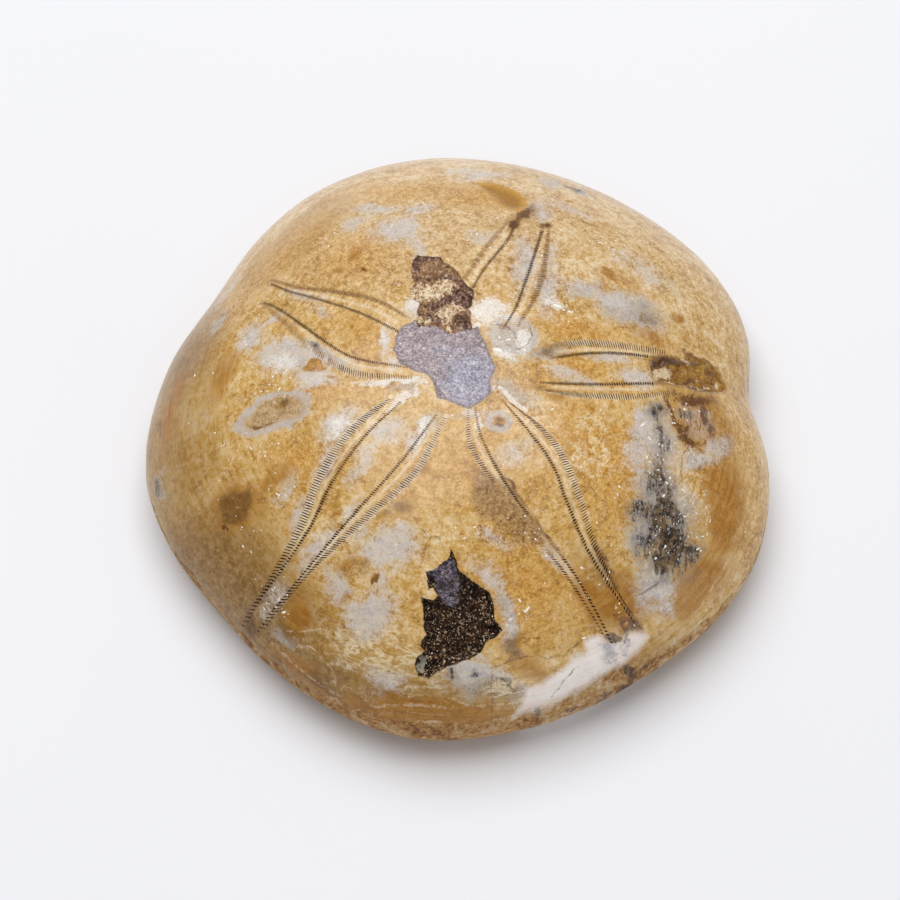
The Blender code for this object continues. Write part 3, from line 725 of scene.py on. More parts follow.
def dome_walk():
    """Shares of the way to the rim, and how far one has walked over the dome at each."""
    shares = np.sin(np.linspace(0.0, math.pi / 2, WALK_STEPS + 1))
    steps = np.hypot(np.diff(shares) * RIM.mean(), np.diff(dome_height(shares)))
    return shares, np.concatenate(((0.0,), np.cumsum(steps)))


def side_profile():
    """Half the side view, from the top, over the rim, under it and in to the middle."""
    shares, walked = dome_walk()
    even = np.interp(np.linspace(0.0, walked[-1], DOME_ROWS + 1), walked, shares)
    profile = [(share, dome_height(share)) for share in even[:-1]]
    for row in range(RIM_ROWS + 1):
        angle = math.radians(90.0 * row / RIM_ROWS)
        inset = (1.0 - RING_OUTER_SHARE) * (1.0 - math.cos(angle))
        profile.append((1.0 - inset, RIM_HEIGHT * (1.0 - math.sin(angle))))
    ring_breadth = RING_INNER_SHARE - RING_OUTER_SHARE
    for row in range(1, RING_ROWS):
        profile.append((RING_OUTER_SHARE + ring_breadth * row / RING_ROWS, 0.0))
    for row in range(HOLLOW_ROWS + 1):
        profile.append((RING_INNER_SHARE * (1.0 - row / HOLLOW_ROWS), 0.0))
    return profile


def turn_profile():
    """The profile turned once round the upright axis, as a closed body of unit radius."""
    bm = bmesh.new()
    ring = [bm.verts.new((share, 0.0, height)) for share, height in side_profile()]
    edges = [bm.edges.new(pair) for pair in zip(ring, ring[1:])]
    bmesh.ops.spin(
        bm, geom=ring + edges, cent=(0.0, 0.0, 0.0), axis=(0.0, 0.0, 1.0),
        angle=math.tau, steps=TURN_STEPS, use_merge=True, use_duplicate=False,
    )
    bmesh.ops.remove_doubles(bm, verts=bm.verts, dist=0.00001)
    bmesh.ops.recalc_face_normals(bm, faces=bm.faces)
    return bm


def plan_places(unit):
    """Places seen from above of points on the unit body, and their shares and bearings."""
    share = np.hypot(unit[:, 0], unit[:, 1])
    bearing = np.degrees(np.arctan2(unit[:, 1], unit[:, 0])) % 360.0
    reach = np.interp(bearing, BEARINGS, RIM)
    plan = APEX + unit[:, :2] * reach[:, None]
    return plan, share, bearing


def off_run(plan, start, end):
    """A straight run, the places' offsets from its start, and their gaps from the run."""
    run = np.array((end[0] - start[0], end[1] - start[1]))
    dx = plan[:, 0] - start[0]
    dy = plan[:, 1] - start[1]
    along = np.clip((dx * run[0] + dy * run[1]) / run.dot(run), 0.0, 1.0)
    return run, dx, dy, np.hypot(dx - along * run[0], dy - along * run[1])


def inside(plan, outline):
    """How far each place lies inside an outline; negative outside."""
    corners = np.array(outline)
    nearest = np.full(len(plan), np.inf)
    within = np.zeros(len(plan), dtype=bool)
    for start, end in zip(corners, np.roll(corners, -1, axis=0)):
        run, _, dy, gap = off_run(plan, start, end)
        nearest = np.minimum(nearest, gap)
        level = (start[1] > plan[:, 1]) != (end[1] > plan[:, 1])
        rise = run[1] if run[1] != 0.0 else TINY
        within ^= level & (plan[:, 0] < start[0] + dy * run[0] / rise)
    return np.where(within, nearest, -nearest)


def outline_mark(plan, outline, wobble=0.0):
    """How far each place lies inside an outline whose edge wobbles, up to the marks' limit."""
    return np.clip(inside(plan, outline) + wobble, -MARK_LIMIT, MARK_LIMIT)


def marks_within(plan, close, parts):
    """How far each place lies inside any of several outlines; looked at where it is close."""
    within = np.full(len(plan), -MARK_LIMIT)
    for outline in parts:
        within[close] = np.maximum(within[close], inside(plan[close], outline))
    return within


def grain(places, size, octaves=3, seed=0):
    """Uneven relief between about -1 and 1 at each place, with lumps of a size."""
    shift = Vector((13.7 * seed, -7.3 * seed, 5.1 * seed))
    lumps = []
    for place in places:
        lumps.append(noise.fractal(Vector(place) / size + shift, 0.7, 2.1, octaves))
    return np.array(lumps)


def ragged_plan(places, plan):
    """Places seen from above, shifted unevenly so that stains get ragged outlines."""
    shifts = []
    for seed in (21, 22):
        shifts.append(0.9 * grain(places, 3.6, 3, seed) + 0.25 * grain(places, 1.0, 2, seed + 9))
    return plan + np.column_stack(shifts)


def ellipse_reach(plan, x, y, half_length, half_width, turn):
    """How far out from an ellipse's middle each place lies: 1 is on its edge."""
    turn = math.radians(turn)
    dx = plan[:, 0] - x
    dy = plan[:, 1] - y
    along = (dx * math.cos(turn) + dy * math.sin(turn)) / half_length
    off = (dy * math.cos(turn) - dx * math.sin(turn)) / half_width
    return np.hypot(along, off)


def stain(plan, spots):
    """Strength of a family of stains at each place: above 0 inside one, and -1 far away."""
    field = np.full(len(plan), -1.0)
    for *ellipse, strength in spots:
        reach = 1.0 - ellipse_reach(plan, *ellipse)
        field = np.maximum(field, np.where(reach > 0.0, reach * strength, reach))
    return field


def ring_mark(plan):
    """How close each place is to the middle line of a ring: 1 on it, and below 0 away from it."""
    field = np.full(len(plan), -1.0)
    for x, y, half_length, half_width, turn in RINGS:
        reach = ellipse_reach(plan, x, y, half_length, half_width, turn)
        gap = abs(reach - 1.0) * half_width
        field = np.maximum(field, 1.0 - gap / RING_HALF_BREADTH)
    return field


def off_lines(plan, lines):
    """Sideways distance of each place from the nearest of several lines; large far from them."""
    nearest = np.full(len(plan), LINE_SEARCH)
    sideways = np.full(len(plan), FAR_OFF)
    for line in lines:
        for start, end in zip(line, line[1:]):
            run, dx, dy, gap = off_run(plan, start, end)
            side = np.where(dy * run[0] - dx * run[1] > 0.0, 1.0, -1.0)
            closer = gap < nearest
            nearest = np.where(closer, gap, nearest)
            reach = side * np.where(gap < LINE_REACH, gap, FAR_OFF)
            sideways = np.where(closer, reach, sideways)
    return sideways


# ---------------------------------------------------------------- rows of pores


def smooth_row(places, shares):
    """Places on a smooth curve through the given ones, at shares of its length."""
    knots = np.array(places, dtype=float)
    knots = np.vstack((2 * knots[0] - knots[1], knots, 2 * knots[-1] - knots[-2]))
    fine = []
    for p0, p1, p2, p3 in zip(knots, knots[1:], knots[2:], knots[3:]):
        for t in np.linspace(0.0, 1.0, 40, endpoint=False):
            curve = 2 * p1 + (p2 - p0) * t + (2 * p0 - 5 * p1 + 4 * p2 - p3) * t**2
            fine.append((curve + (3 * p1 - p0 - 3 * p2 + p3) * t**3) / 2)
    fine.append(knots[-2])
    fine = np.array(fine)
    walked = np.concatenate(((0.0,), np.cumsum(np.hypot(*np.diff(fine, axis=0).T))))
    wanted = np.asarray(shares) * walked[-1]
    return np.column_stack([np.interp(wanted, walked, fine[:, axis]) for axis in (0, 1)])


def row_length(places):
    """Length of a row."""
    return np.hypot(*np.diff(smooth_row(places, np.linspace(0.0, 1.0, 60)), axis=0).T).sum()


def level_at(pairs, t):
    """A level read off pairs of how far along and level."""
    return np.interp(t, [pair[0] for pair in pairs], [pair[1] for pair in pairs])


def pore_shares(length):
    """Shares of a row's length at which its pores stand."""
    walked = [FIRST_PORE]
    while walked[-1] < length:
        walked.append(walked[-1] + level_at(PORE_SPACING, walked[-1]))
    return np.array(walked[:-1]) / length


# ---------------------------------------------------------------- making the skin


def points_of(bm):
    """The body's points as an array."""
    return np.array([vert.co[:] for vert in bm.verts])


def refine_breaks(bm):
    """Make the body finer round the broken places and the openings below."""
    unit = points_of(bm)
    plan, _, _ = plan_places(unit)
    near = np.zeros(len(plan), dtype=bool)
    for outline in BREAKS.values():
        near |= (inside(plan, outline) > -FINE_REACH) & (unit[:, 2] > RIM_HEIGHT)
    for middle, halves in (MOUTH, VENT):
        gap = np.hypot(plan[:, 0] - middle[0], plan[:, 1] - middle[1])
        near |= (gap < max(halves) + FINE_PIT_REACH) & (unit[:, 2] < RIM_HEIGHT / 2)
    bm.verts.ensure_lookup_table()
    edges = [edge for edge in bm.edges if all(near[vert.index] for vert in edge.verts)]
    bmesh.ops.subdivide_edges(bm, edges=edges, cuts=2, use_grid_fill=True)


def underside_height(plan, share):
    """Height of the underside: the hollow and the food grooves."""
    hollow = HOLLOW_DEPTH * fade(1.0 - share / RING_INNER_SHARE)
    from_mouth = plan - np.array(MOUTH[0][:2])
    groove = np.zeros(len(plan))
    for bearing in GROOVE_BEARINGS:
        line = (math.cos(math.radians(bearing)), math.sin(math.radians(bearing)))
        ahead = from_mouth[:, 0] * line[0] + from_mouth[:, 1] * line[1]
        off_line = (from_mouth[:, 1] * line[0] - from_mouth[:, 0] * line[1]) / GROOVE_HALF_WIDTH
        groove = np.maximum(groove, np.where(ahead > 0.0, np.exp(-off_line * off_line), 0.0))
    return hollow + GROOVE_DEPTH * groove * fade(4.0 * (1.0 - share / RING_INNER_SHARE))


def open_pit(plan, height, pit):
    """Sink an egg-shaped opening into the underside."""
    (x, y, z), (half_x, half_y, half_z) = pit
    off = ((plan[:, 0] - x) / half_x) ** 2 + ((plan[:, 1] - y) / half_y) ** 2
    roof = z + half_z * np.sqrt(np.clip(1.0 - off, 0.0, 1.0))
    return np.where(off < 1.0, np.maximum(height, roof), height)


def rest_places(unit, plan, share):
    """The stone's true surface before it broke, wore or was polished, and what lies below."""
    top = unit[:, 2] > RIM_HEIGHT - HAIR
    below = unit[:, 2] < HAIR
    height = np.where(top, dome_height(share), unit[:, 2])
    height = np.where(below, underside_height(plan, share), height)
    under = unit[:, 2] < RIM_HEIGHT / 2
    height = np.where(under, open_pit(plan, height, MOUTH), height)
    height = np.where(under, open_pit(plan, height, VENT), height)
    return np.column_stack((plan, height)), below


def break_relief(places, plan, marks):
    """How far each place is sunk by the broken places, and the marks that their finish needs."""
    close = np.zeros(len(places), dtype=bool)
    for outline in BREAKS.values():
        close |= inside(plan, outline) > -BREAK_REACH

    def rough(size, octaves, seed):
        """Uneven relief close to the broken places."""
        relief = np.zeros(len(places))
        relief[close] = grain(places[close], size, octaves, seed)
        return relief

    wobble = 0.16 * rough(1.5, 3, 1) + 0.05 * rough(0.4, 2, 2)
    lumps = rough(1.3, 3, 3)
    grit = rough(0.42, 2, 4)
    crumbly = plan + 0.3 * np.column_stack((rough(0.9, 3, 31), rough(0.9, 3, 32)))
    pale_crumbs = marks_within(crumbly, close, PALE_CRUMBS)
    # The dark break on the right side has a smoother ledge at its upper end.
    ledge = fade(inside(plan, SIDE_LEDGE) / 0.5 + 0.5 + wobble)
    pale_rise = CRUMB_RISE * fade(pale_crumbs / 0.3 + 0.5)
    floors = {
        "side": -LEDGE_RISE * ledge + (0.32 * lumps + 0.15 * grit) * (1.0 - 0.5 * ledge),
        "front": 0.3 * lumps + 0.08 * grit,
        "crumbled": -pale_rise - 0.10 * lumps + 0.16 * grit,
        "chip": 0.0,
    }
    drop = np.zeros(len(places))
    for name, outline in BREAKS.items():
        edge = outline_mark(plan, outline, wobble)
        slope, depth = BREAK_SHAPES[name]
        drop += fade(edge / slope) * (depth + floors[name])
        marks[name + "_break"] = edge
    marks["ledge"] = ledge * 2.0 - 1.0
    marks["pale_crumbs"] = pale_crumbs
    marks["dark_crust"] = marks_within(crumbly, close, DARK_CRUST)
    marks["lumps"] = lumps
    return drop


def wear_down(places, share, bearing, below, marks):
    """How far each place is sunk by wear, by the polish's waves and by the hollow's grit."""
    worn_edge = grain(places, 3.0, 3, 6)
    worn_grit = grain(places, 0.8, 3, 7)
    polish_line = level_at(POLISH_END, bearing)
    unpolished = (polish_line + 0.8 * worn_edge - places[:, 2]) / POLISH_FADE
    worn = fade(unpolished + 0.5)
    drop = worn * (0.06 + 0.07 * worn_edge + 0.06 * worn_grit)
    drop -= POLISH_SWELL * grain(places, 8.0, 2, 5) * (1.0 - worn)
    drop += fade((RING_INNER_SHARE - share) * 12.0) * below * HOLLOW_GRIT * worn_grit
    marks["unpolished"] = np.clip(unpolished, -MARK_LIMIT, MARK_LIMIT)
    return drop


def lay_stains(places, plan, below, marks):
    """Mark the stains, rings, lines and patches; the underside has none."""
    ragged = ragged_plan(places, plan)
    for family, spots in STAINS.items():
        marks[family] = np.where(below, -1.0, stain(ragged, spots))
    marks["rings"] = np.where(below, -1.0, ring_mark(0.5 * (ragged + plan)))
    wavering = plan + 0.3 * (ragged - plan)
    marks["brown_lines"] = np.where(below, FAR_OFF, off_lines(wavering, BROWN_LINES))
    marks["pale_lines"] = np.where(below, FAR_OFF, off_lines(wavering, PALE_LINES))
    marks["apex_patch"] = outline_mark(plan, APEX_PATCH)
    marks["brown_patch"] = outline_mark(plan, BROWN_PATCH)
    marks["pink_band"] = outline_mark(plan, PINK_BAND_AND_REFLECTION)


def band_stations():
    """Places along every band: its dashes, the way to its slits, and how dark it is there."""
    stations = []
    shares = np.linspace(0.0, 1.0, BAND_STATIONS)
    for band in BANDS.values():
        dashes = smooth_row(band["dashes"], shares)
        across = smooth_row(band["slits"], shares) - dashes
        apart = np.hypot(*across.T)
        across /= apart[:, None]
        slit_half = band["longest"] / 2 * level_at(SLIT_REACH, shares)
        dash_tone = level_at(band["dash_tone"], shares)
        ground = level_at(band["ground"], shares)
        stations += zip(dashes, across, apart, slit_half, shares, dash_tone, ground)
    return stations


def petal_marks(plan, marks):
    """Mark the pale line between each band's two rows of pores, and the stone round each row."""
    stations = band_stations()
    tree = KDTree(len(stations))
    for i, (place, across, apart, *_) in enumerate(stations):
        tree.insert((*(place + across * apart / 2), 0.0), i)
    tree.balance()
    off_gap = np.full(len(plan), FAR_OFF)
    along_gap = np.zeros(len(plan))
    slit_shade = np.zeros(len(plan))
    dash_shade = np.zeros(len(plan))
    for i in np.flatnonzero(np.hypot(*(plan - APEX).T) < PETAL_REACH):
        _, nearest, distance = tree.find((*plan[i], 0.0))
        place, across, apart, slit_half, share, dash_tone, ground = stations[nearest]
        side = (plan[i] - place).dot(across)
        past = distance * distance - (side - apart / 2) ** 2
        if distance < BAND_REACH and past < BAND_OVERRUN**2:
            off_gap[i] = side - (apart - slit_half + 0.25) / 2
            along_gap[i] = share
            off_slit = abs(side - apart)
            slit_shade[i] = ground * min(1.0, max(0.0, 1.6 - 1.6 * off_slit / slit_half))
            dash_shade[i] = dash_tone * max(0.0, 1.0 - abs(side) / 0.42)
    marks["off_gap"] = off_gap
    marks["along_gap"] = along_gap
    marks["slit_shade"] = slit_shade
    marks["dash_shade"] = dash_shade


def write_marks(mesh, marks):
    """Keep the marks on the mesh, for its material to read."""
    for name, levels in marks.items():
        mark = mesh.attributes.new(name, "FLOAT", "POINT")
        mark.data.foreach_set("value", levels.astype(np.float32))


def lay_flat(mesh, unit):
    """Unfold the skin for its finish: the dome as one large disc, the underside as a small one."""
    shares, walked = dome_walk()
    share = np.hypot(unit[:, 0], unit[:, 1])
    walk = np.interp(share, shares, walked)
    past_rim = unit[:, 2] < RIM_HEIGHT - HAIR
    rim_walk = walked[-1] + RIM_UNFOLDED * (1.0 - unit[:, 2] / RIM_HEIGHT)
    walk = np.where(past_rim, rim_walk, walk) / (walked[-1] + RIM_UNFOLDED)
    turned = unit[:, :2] / np.maximum(share, TINY)[:, None]
    dome = DOME_DISC[0] + DOME_DISC[1] * turned * walk[:, None]
    below = UNDER_DISC[0] + UNDER_DISC[1] * turned * (share / RING_OUTER_SHARE)[:, None]
    layer = mesh.uv_layers.new(name="OFBake")
    corners = np.zeros(len(mesh.loops), dtype=np.int32)
    mesh.loops.foreach_get("vertex_index", corners)
    flat = np.zeros((len(mesh.loops), 2))
    for polygon in mesh.polygons:
        span = slice(polygon.loop_start, polygon.loop_start + polygon.loop_total)
        used = corners[span]
        underside = unit[used, 2].max() < HAIR
        flat[span] = below[used] if underside else dome[used]
    layer.uv.foreach_set("vector", flat.astype(np.float32).ravel())


def set_places(mesh, places):
    """Put the mesh's points at the given places."""
    mesh.vertices.foreach_set("co", (places * MM).astype(np.float32).ravel())
    mesh.update()


def sink(mesh, places, drop):
    """Sink each place along the surface's facing, and keep it above the resting plane."""
    facing = np.zeros(len(places) * 3, dtype=np.float32)
    mesh.vertex_normals.foreach_get("vector", facing)
    places = places - facing.reshape(-1, 3) * drop[:, None]
    places[:, 2] = np.maximum(places[:, 2], 0.0)
    set_places(mesh, places)
    return places


def make_skin():
    """The stone's whole surface, broken, worn and polished."""
    bm = turn_profile()
    refine_breaks(bm)
    unit = points_of(bm)
    mesh = bpy.data.meshes.new("urchin_skin")
    bm.to_mesh(mesh)
    bm.free()
    plan, share, bearing = plan_places(unit)
    places, below = rest_places(unit, plan, share)
    set_places(mesh, places)
    lay_flat(mesh, unit)
    marks = {}
    drop = break_relief(places, plan, marks) + wear_down(places, share, bearing, below, marks)
    drop[below & (share > RING_INNER_SHARE)] = 0.0
    places = sink(mesh, places, drop)
    lay_stains(places, plan, below, marks)
    petal_marks(plan, marks)
    write_marks(mesh, marks)
    mesh.shade_smooth()
    return add_object(mesh, "urchin_skin")


def add_object(mesh, name):
    """A new object of a mesh, in the scene."""
    made = bpy.data.objects.new(name, mesh)
    bpy.context.scene.collection.objects.link(made)
    return made


# ---------------------------------------------------------------- making the pores


def spot_below(surface, place):
    """Where the skin lies under a place seen from above, and which way it faces there."""
    start = Vector((place[0] * MM, place[1] * MM, RAY_START))
    spot, facing, _, _ = surface.ray_cast(start, Vector((0.0, 0.0, -1.0)))
    return spot, facing


def inlay_matrix(surface, place, across, length, width):
    """Where an inlay lies in the skin, with its length along the given way."""
    spot, facing = spot_below(surface, place)
    run = Vector((across[0], across[1], 0.0))
    run = (run - facing * run.dot(facing)).normalized()
    other = facing.cross(run)
    turn = Matrix((run, other, facing)).transposed().to_4x4()
    size = Matrix.Diagonal((length / 2 * MM, width / 2 * MM, MM, 1.0))
    lift = Matrix.Translation(spot + facing * (PORE_PROUD - (PORE_SINK + PORE_PROUD) / 2) * MM)
    return lift @ turn @ size


def paint_tone(bm, made, tone):
    """Keep a tone on the points just made, for their material to read."""
    tones = bm.verts.layers.float["tone"]
    for vert in made["verts"]:
        vert[tones] = tone


def add_inlay(bm, surface, place, across, length, width, tone, sides=8):
    """One small inlay, level with the stone."""
    made = bmesh.ops.create_cone(
        bm, cap_ends=True, segments=sides, radius1=1.0, radius2=0.9,
        depth=PORE_SINK + PORE_PROUD,
        matrix=inlay_matrix(surface, place, across, length, width),
    )
    paint_tone(bm, made, tone)


def make_piece(name, seed, skin, fill):
    """A piece of many small shapes set in the skin, which `fill` adds one by one."""
    surface = BVHTree.FromObject(skin, bpy.context.evaluated_depsgraph_get())
    bm = bmesh.new()
    bm.verts.layers.float.new("tone")
    fill(bm, surface, random.Random(seed))
    bmesh.ops.recalc_face_normals(bm, faces=bm.faces)
    mesh = bpy.data.meshes.new(name)
    bm.to_mesh(mesh)
    bm.free()
    return add_object(mesh, name)


def broken_away(plan):
    """Whether each place lies in or close to a broken place."""
    gone = np.zeros(len(plan), dtype=bool)
    for outline in BREAKS.values():
        gone |= inside(plan, outline) > -BREAK_MARGIN
    return gone


def add_band(bm, surface, band, chance):
    """Both rows of pores of one band."""
    along = pore_shares(row_length(band["slits"]))
    dashes = smooth_row(band["dashes"], along)
    slits = smooth_row(band["slits"], along)
    longest = band["longest"] * level_at(SLIT_REACH, along)
    gone_dash = broken_away(dashes)
    gone_slit = broken_away(slits)
    for i, t in enumerate(along):
        across = slits[i] - dashes[i]
        across /= np.hypot(*across)
        turned = Matrix.Rotation(math.radians(chance.gauss(0.0, 3.0)), 2) @ Vector(across)
        shift = across * chance.gauss(0.0, 0.02)
        dash_tone = level_at(band["dash_tone"], t) * 1.1 + chance.gauss(0.0, 0.1)
        slit_tone = level_at(band["slit_tone"], t) * 1.2 + chance.gauss(0.0, 0.12)
        length = longest[i] * chance.uniform(0.85, 1.1)
        if not gone_dash[i] and dash_tone > FAINTEST_PORE:
            add_inlay(
                bm, surface, dashes[i] + shift, turned,
                DASH_LENGTH * (1.0 + 0.3 * t) * chance.uniform(0.85, 1.2),
                DASH_WIDTH * (1.0 + 0.2 * t) * chance.uniform(0.85, 1.1),
                dash_tone,
            )
        if not gone_slit[i] and slit_tone > FAINTEST_PORE:
            add_inlay(
                bm, surface, slits[i] + shift, turned, length,
                SLIT_WIDTH * chance.uniform(0.75, 1.15), slit_tone,
            )


def fill_pores(bm, surface, chance):
    """Every row of pores."""
    for band in BANDS.values():
        add_band(bm, surface, band, chance)


# ---------------------------------------------------------------- making glints and grains


def scatter_glints(chance):
    """Bright crystals and painted glints by chance in each field: place, length, width, turn."""
    spots = []
    for x, y, half_length, half_width, turn, count in GLINT_FIELDS:
        turned = Matrix.Rotation(math.radians(turn), 2)
        for _ in range(count):
            reach = math.sqrt(chance.random())
            heading = chance.uniform(0.0, math.tau)
            off_x = reach * math.cos(heading) * half_length
            off_y = reach * math.sin(heading) * half_width
            place = turned @ Vector((off_x, off_y))
            length = chance.uniform(*GLINT_LENGTHS) * chance.uniform(0.4, 1.0)
            width = max(0.1, length * chance.uniform(0.2, 0.7))
            spots.append((x + place.x, y + place.y, length, width, chance.uniform(0.0, 180.0)))
    return spots


def fill_glints(bm, surface, chance):
    """Small bright crystals that lie level with the polish; near white, partly painted glints."""
    spots = list(LARGE_GLINTS) + scatter_glints(chance)
    gone = broken_away(np.array([spot[:2] for spot in spots]))
    for (x, y, length, width, turn), lost in zip(spots, gone):
        tone = chance.uniform(0.85, 1.2)
        across = (math.cos(math.radians(turn)), math.sin(math.radians(turn)))
        if not lost:
            sides = chance.choice((4, 5, 6))
            add_inlay(bm, surface, (x, y), across, length, width, tone, sides)


def fill_grains(bm, surface, chance):
    """Loose-looking grains that still sit in the broken places."""
    for name, count, bright in GRAIN_FIELDS:
        outline = BREAKS[name]
        low = np.min(outline, axis=0)
        high = np.max(outline, axis=0)
        places = []
        for _ in range(count):
            places.append([chance.uniform(low[axis], high[axis]) for axis in (0, 1)])
        plan = np.array(places)
        kept = inside(plan, outline) > 0.12
        ledge = inside(plan, SIDE_LEDGE) > -0.2
        pale = marks_within(plan, kept, PALE_CRUMBS) > -0.1
        for i, place in enumerate(places):
            is_bright = chance.random() < bright
            tone = chance.uniform(0.65, 1.0) if is_bright else chance.uniform(0.0, 0.5)
            tone = tone + 0.25 if pale[i] else tone
            tone = tone * 0.6 if ledge[i] else tone
            size = chance.uniform(*GRAIN_SIZES) * chance.uniform(0.6, 1.0)
            turn = Euler([chance.uniform(0.0, 3.0) for _ in range(3)])
            stretch = Vector([size * chance.uniform(0.6, 1.3) * MM for _ in range(3)])
            if kept[i]:
                grown = Matrix.LocRotScale(spot_below(surface, place)[0], turn, stretch)
                made = bmesh.ops.create_icosphere(bm, subdivisions=1, radius=1.0, matrix=grown)
                paint_tone(bm, made, min(tone, 1.0))


# ---------------------------------------------------------------- finishes


class Level:
    """A node's output. Arithmetic on it adds Math nodes."""

    def __init__(self, finish, socket):
        self.finish = finish
        self.socket = socket

    def math(self, operation, *values):
        """A Math node on these values."""
        settings = {"operation": operation}
        return self.finish.node("ShaderNodeMath", settings, dict(enumerate(values)))

    def __add__(self, other):
        return self.math("ADD", self, other)

    __radd__ = __add__

    def __sub__(self, other):
        return self.math("SUBTRACT", self, other)

    def __rsub__(self, other):
        return self.math("SUBTRACT", other, self)

    def __mul__(self, other):
        return self.math("MULTIPLY", self, other)

    __rmul__ = __mul__

    def __truediv__(self, other):
        return self.math("DIVIDE", self, other)

    def __abs__(self):
        return self.math("ABSOLUTE", self)

    def most(self, other):
        """The larger of two levels."""
        return self.math("MAXIMUM", self, other)


class Finish:
    """One material, and the few calls that add nodes to it."""

    def __init__(self, name):
        self.material = bpy.data.materials.new(name)
        self.material.use_nodes = True
        self.tree = self.material.node_tree
        self.shader = self.tree.nodes["Principled BSDF"]

    def node(self, kind, settings=None, sockets=None, output=0):
        """Any node: its settings first, then the values or links of its sockets."""
        node = self.tree.nodes.new(kind)
        for name, value in (settings or {}).items():
            if name == "stops":
                self.set_stops(node.color_ramp, value)
            else:
                setattr(node, name, value)
        for place, value in (sockets or {}).items():
            self.feed(node.inputs[place], value)
        return Level(self, node.outputs[output])

    def set_stops(self, ramp, stops):
        """A ramp's stops: place and colour."""
        while len(ramp.elements) < len(stops):
            ramp.elements.new(1.0)
        for element, (place, colour) in zip(ramp.elements, stops):
            element.position = place
            element.color = srgb(*colour)

    def feed(self, socket, value):
        """Link a level to a socket, or set the socket's own value."""
        if isinstance(value, Level):
            self.tree.links.new(value.socket, socket)
        else:
            socket.default_value = value

    def mark(self, name):
        """A mark kept on the mesh."""
        return self.node("ShaderNodeAttribute", {"attribute_name": name}, output="Fac")

    def place(self):
        """Places on the stone, in metres."""
        return self.node("ShaderNodeTexCoord", output="Object")

    def vector(self, operation, first, second=None, output="Vector"):
        """A Vector Math node."""
        sockets = {0: first} if second is None else {0: first, 1: second}
        return self.node("ShaderNodeVectorMath", {"operation": operation}, sockets, output)

    def part(self, vector, axis):
        """One part of a vector, along X, Y or Z."""
        return self.node("ShaderNodeSeparateXYZ", None, {"Vector": vector}, axis)

    def clouds(self, size, detail=3.0, rough=0.55, twist=0.0, seed=0.0, where=None):
        """Cloudy noise around 0.5, whose largest clouds have a size in millimetres."""
        return self.node(
            "ShaderNodeTexNoise", {"noise_dimensions": "4D", "normalize": True},
            {
                "Vector": where or self.place(), "W": seed, "Scale": 1.0 / (size * MM),
                "Detail": detail, "Roughness": rough, "Distortion": twist,
            },
        )

    def step(self, level, low, high):
        """Smooth step from 0 at low to 1 at high."""
        return self.node(
            "ShaderNodeMapRange", {"interpolation_type": "SMOOTHSTEP"},
            {"Value": level, "From Min": low, "From Max": high},
        )

    def mix(self, share, first, second, how="MIX"):
        """A colour between two, by a share. A plain colour is given as 0 to 255."""
        paints = [srgb(*paint) if isinstance(paint, tuple) else paint for paint in (first, second)]
        return self.node(
            "ShaderNodeMix", {"data_type": "RGBA", "blend_type": how},
            {"Factor": share, 6: paints[0], 7: paints[1]}, output=2,
        )

    def mottled(self, level, low, high, first, second):
        """Two colours in patches, by how far a level has risen from low to high."""
        return self.mix(self.step(level, low, high), first, second)

    def ramp(self, level, *stops):
        """A colour read off a ramp."""
        return self.node("ShaderNodeValToRGB", {"stops": stops}, {"Fac": level}, output="Color")

    def relief(self, height, distance, strength=1.0):
        """Bumps of a height up to a distance in millimetres."""
        return self.node(
            "ShaderNodeBump", None,
            {"Height": height, "Distance": distance * MM, "Strength": strength}, output="Normal",
        )

    def finish(self, **sockets):
        """Feed the shader."""
        for name, value in sockets.items():
            self.feed(self.shader.inputs[name.replace("_", " ")], value)
        return self.material


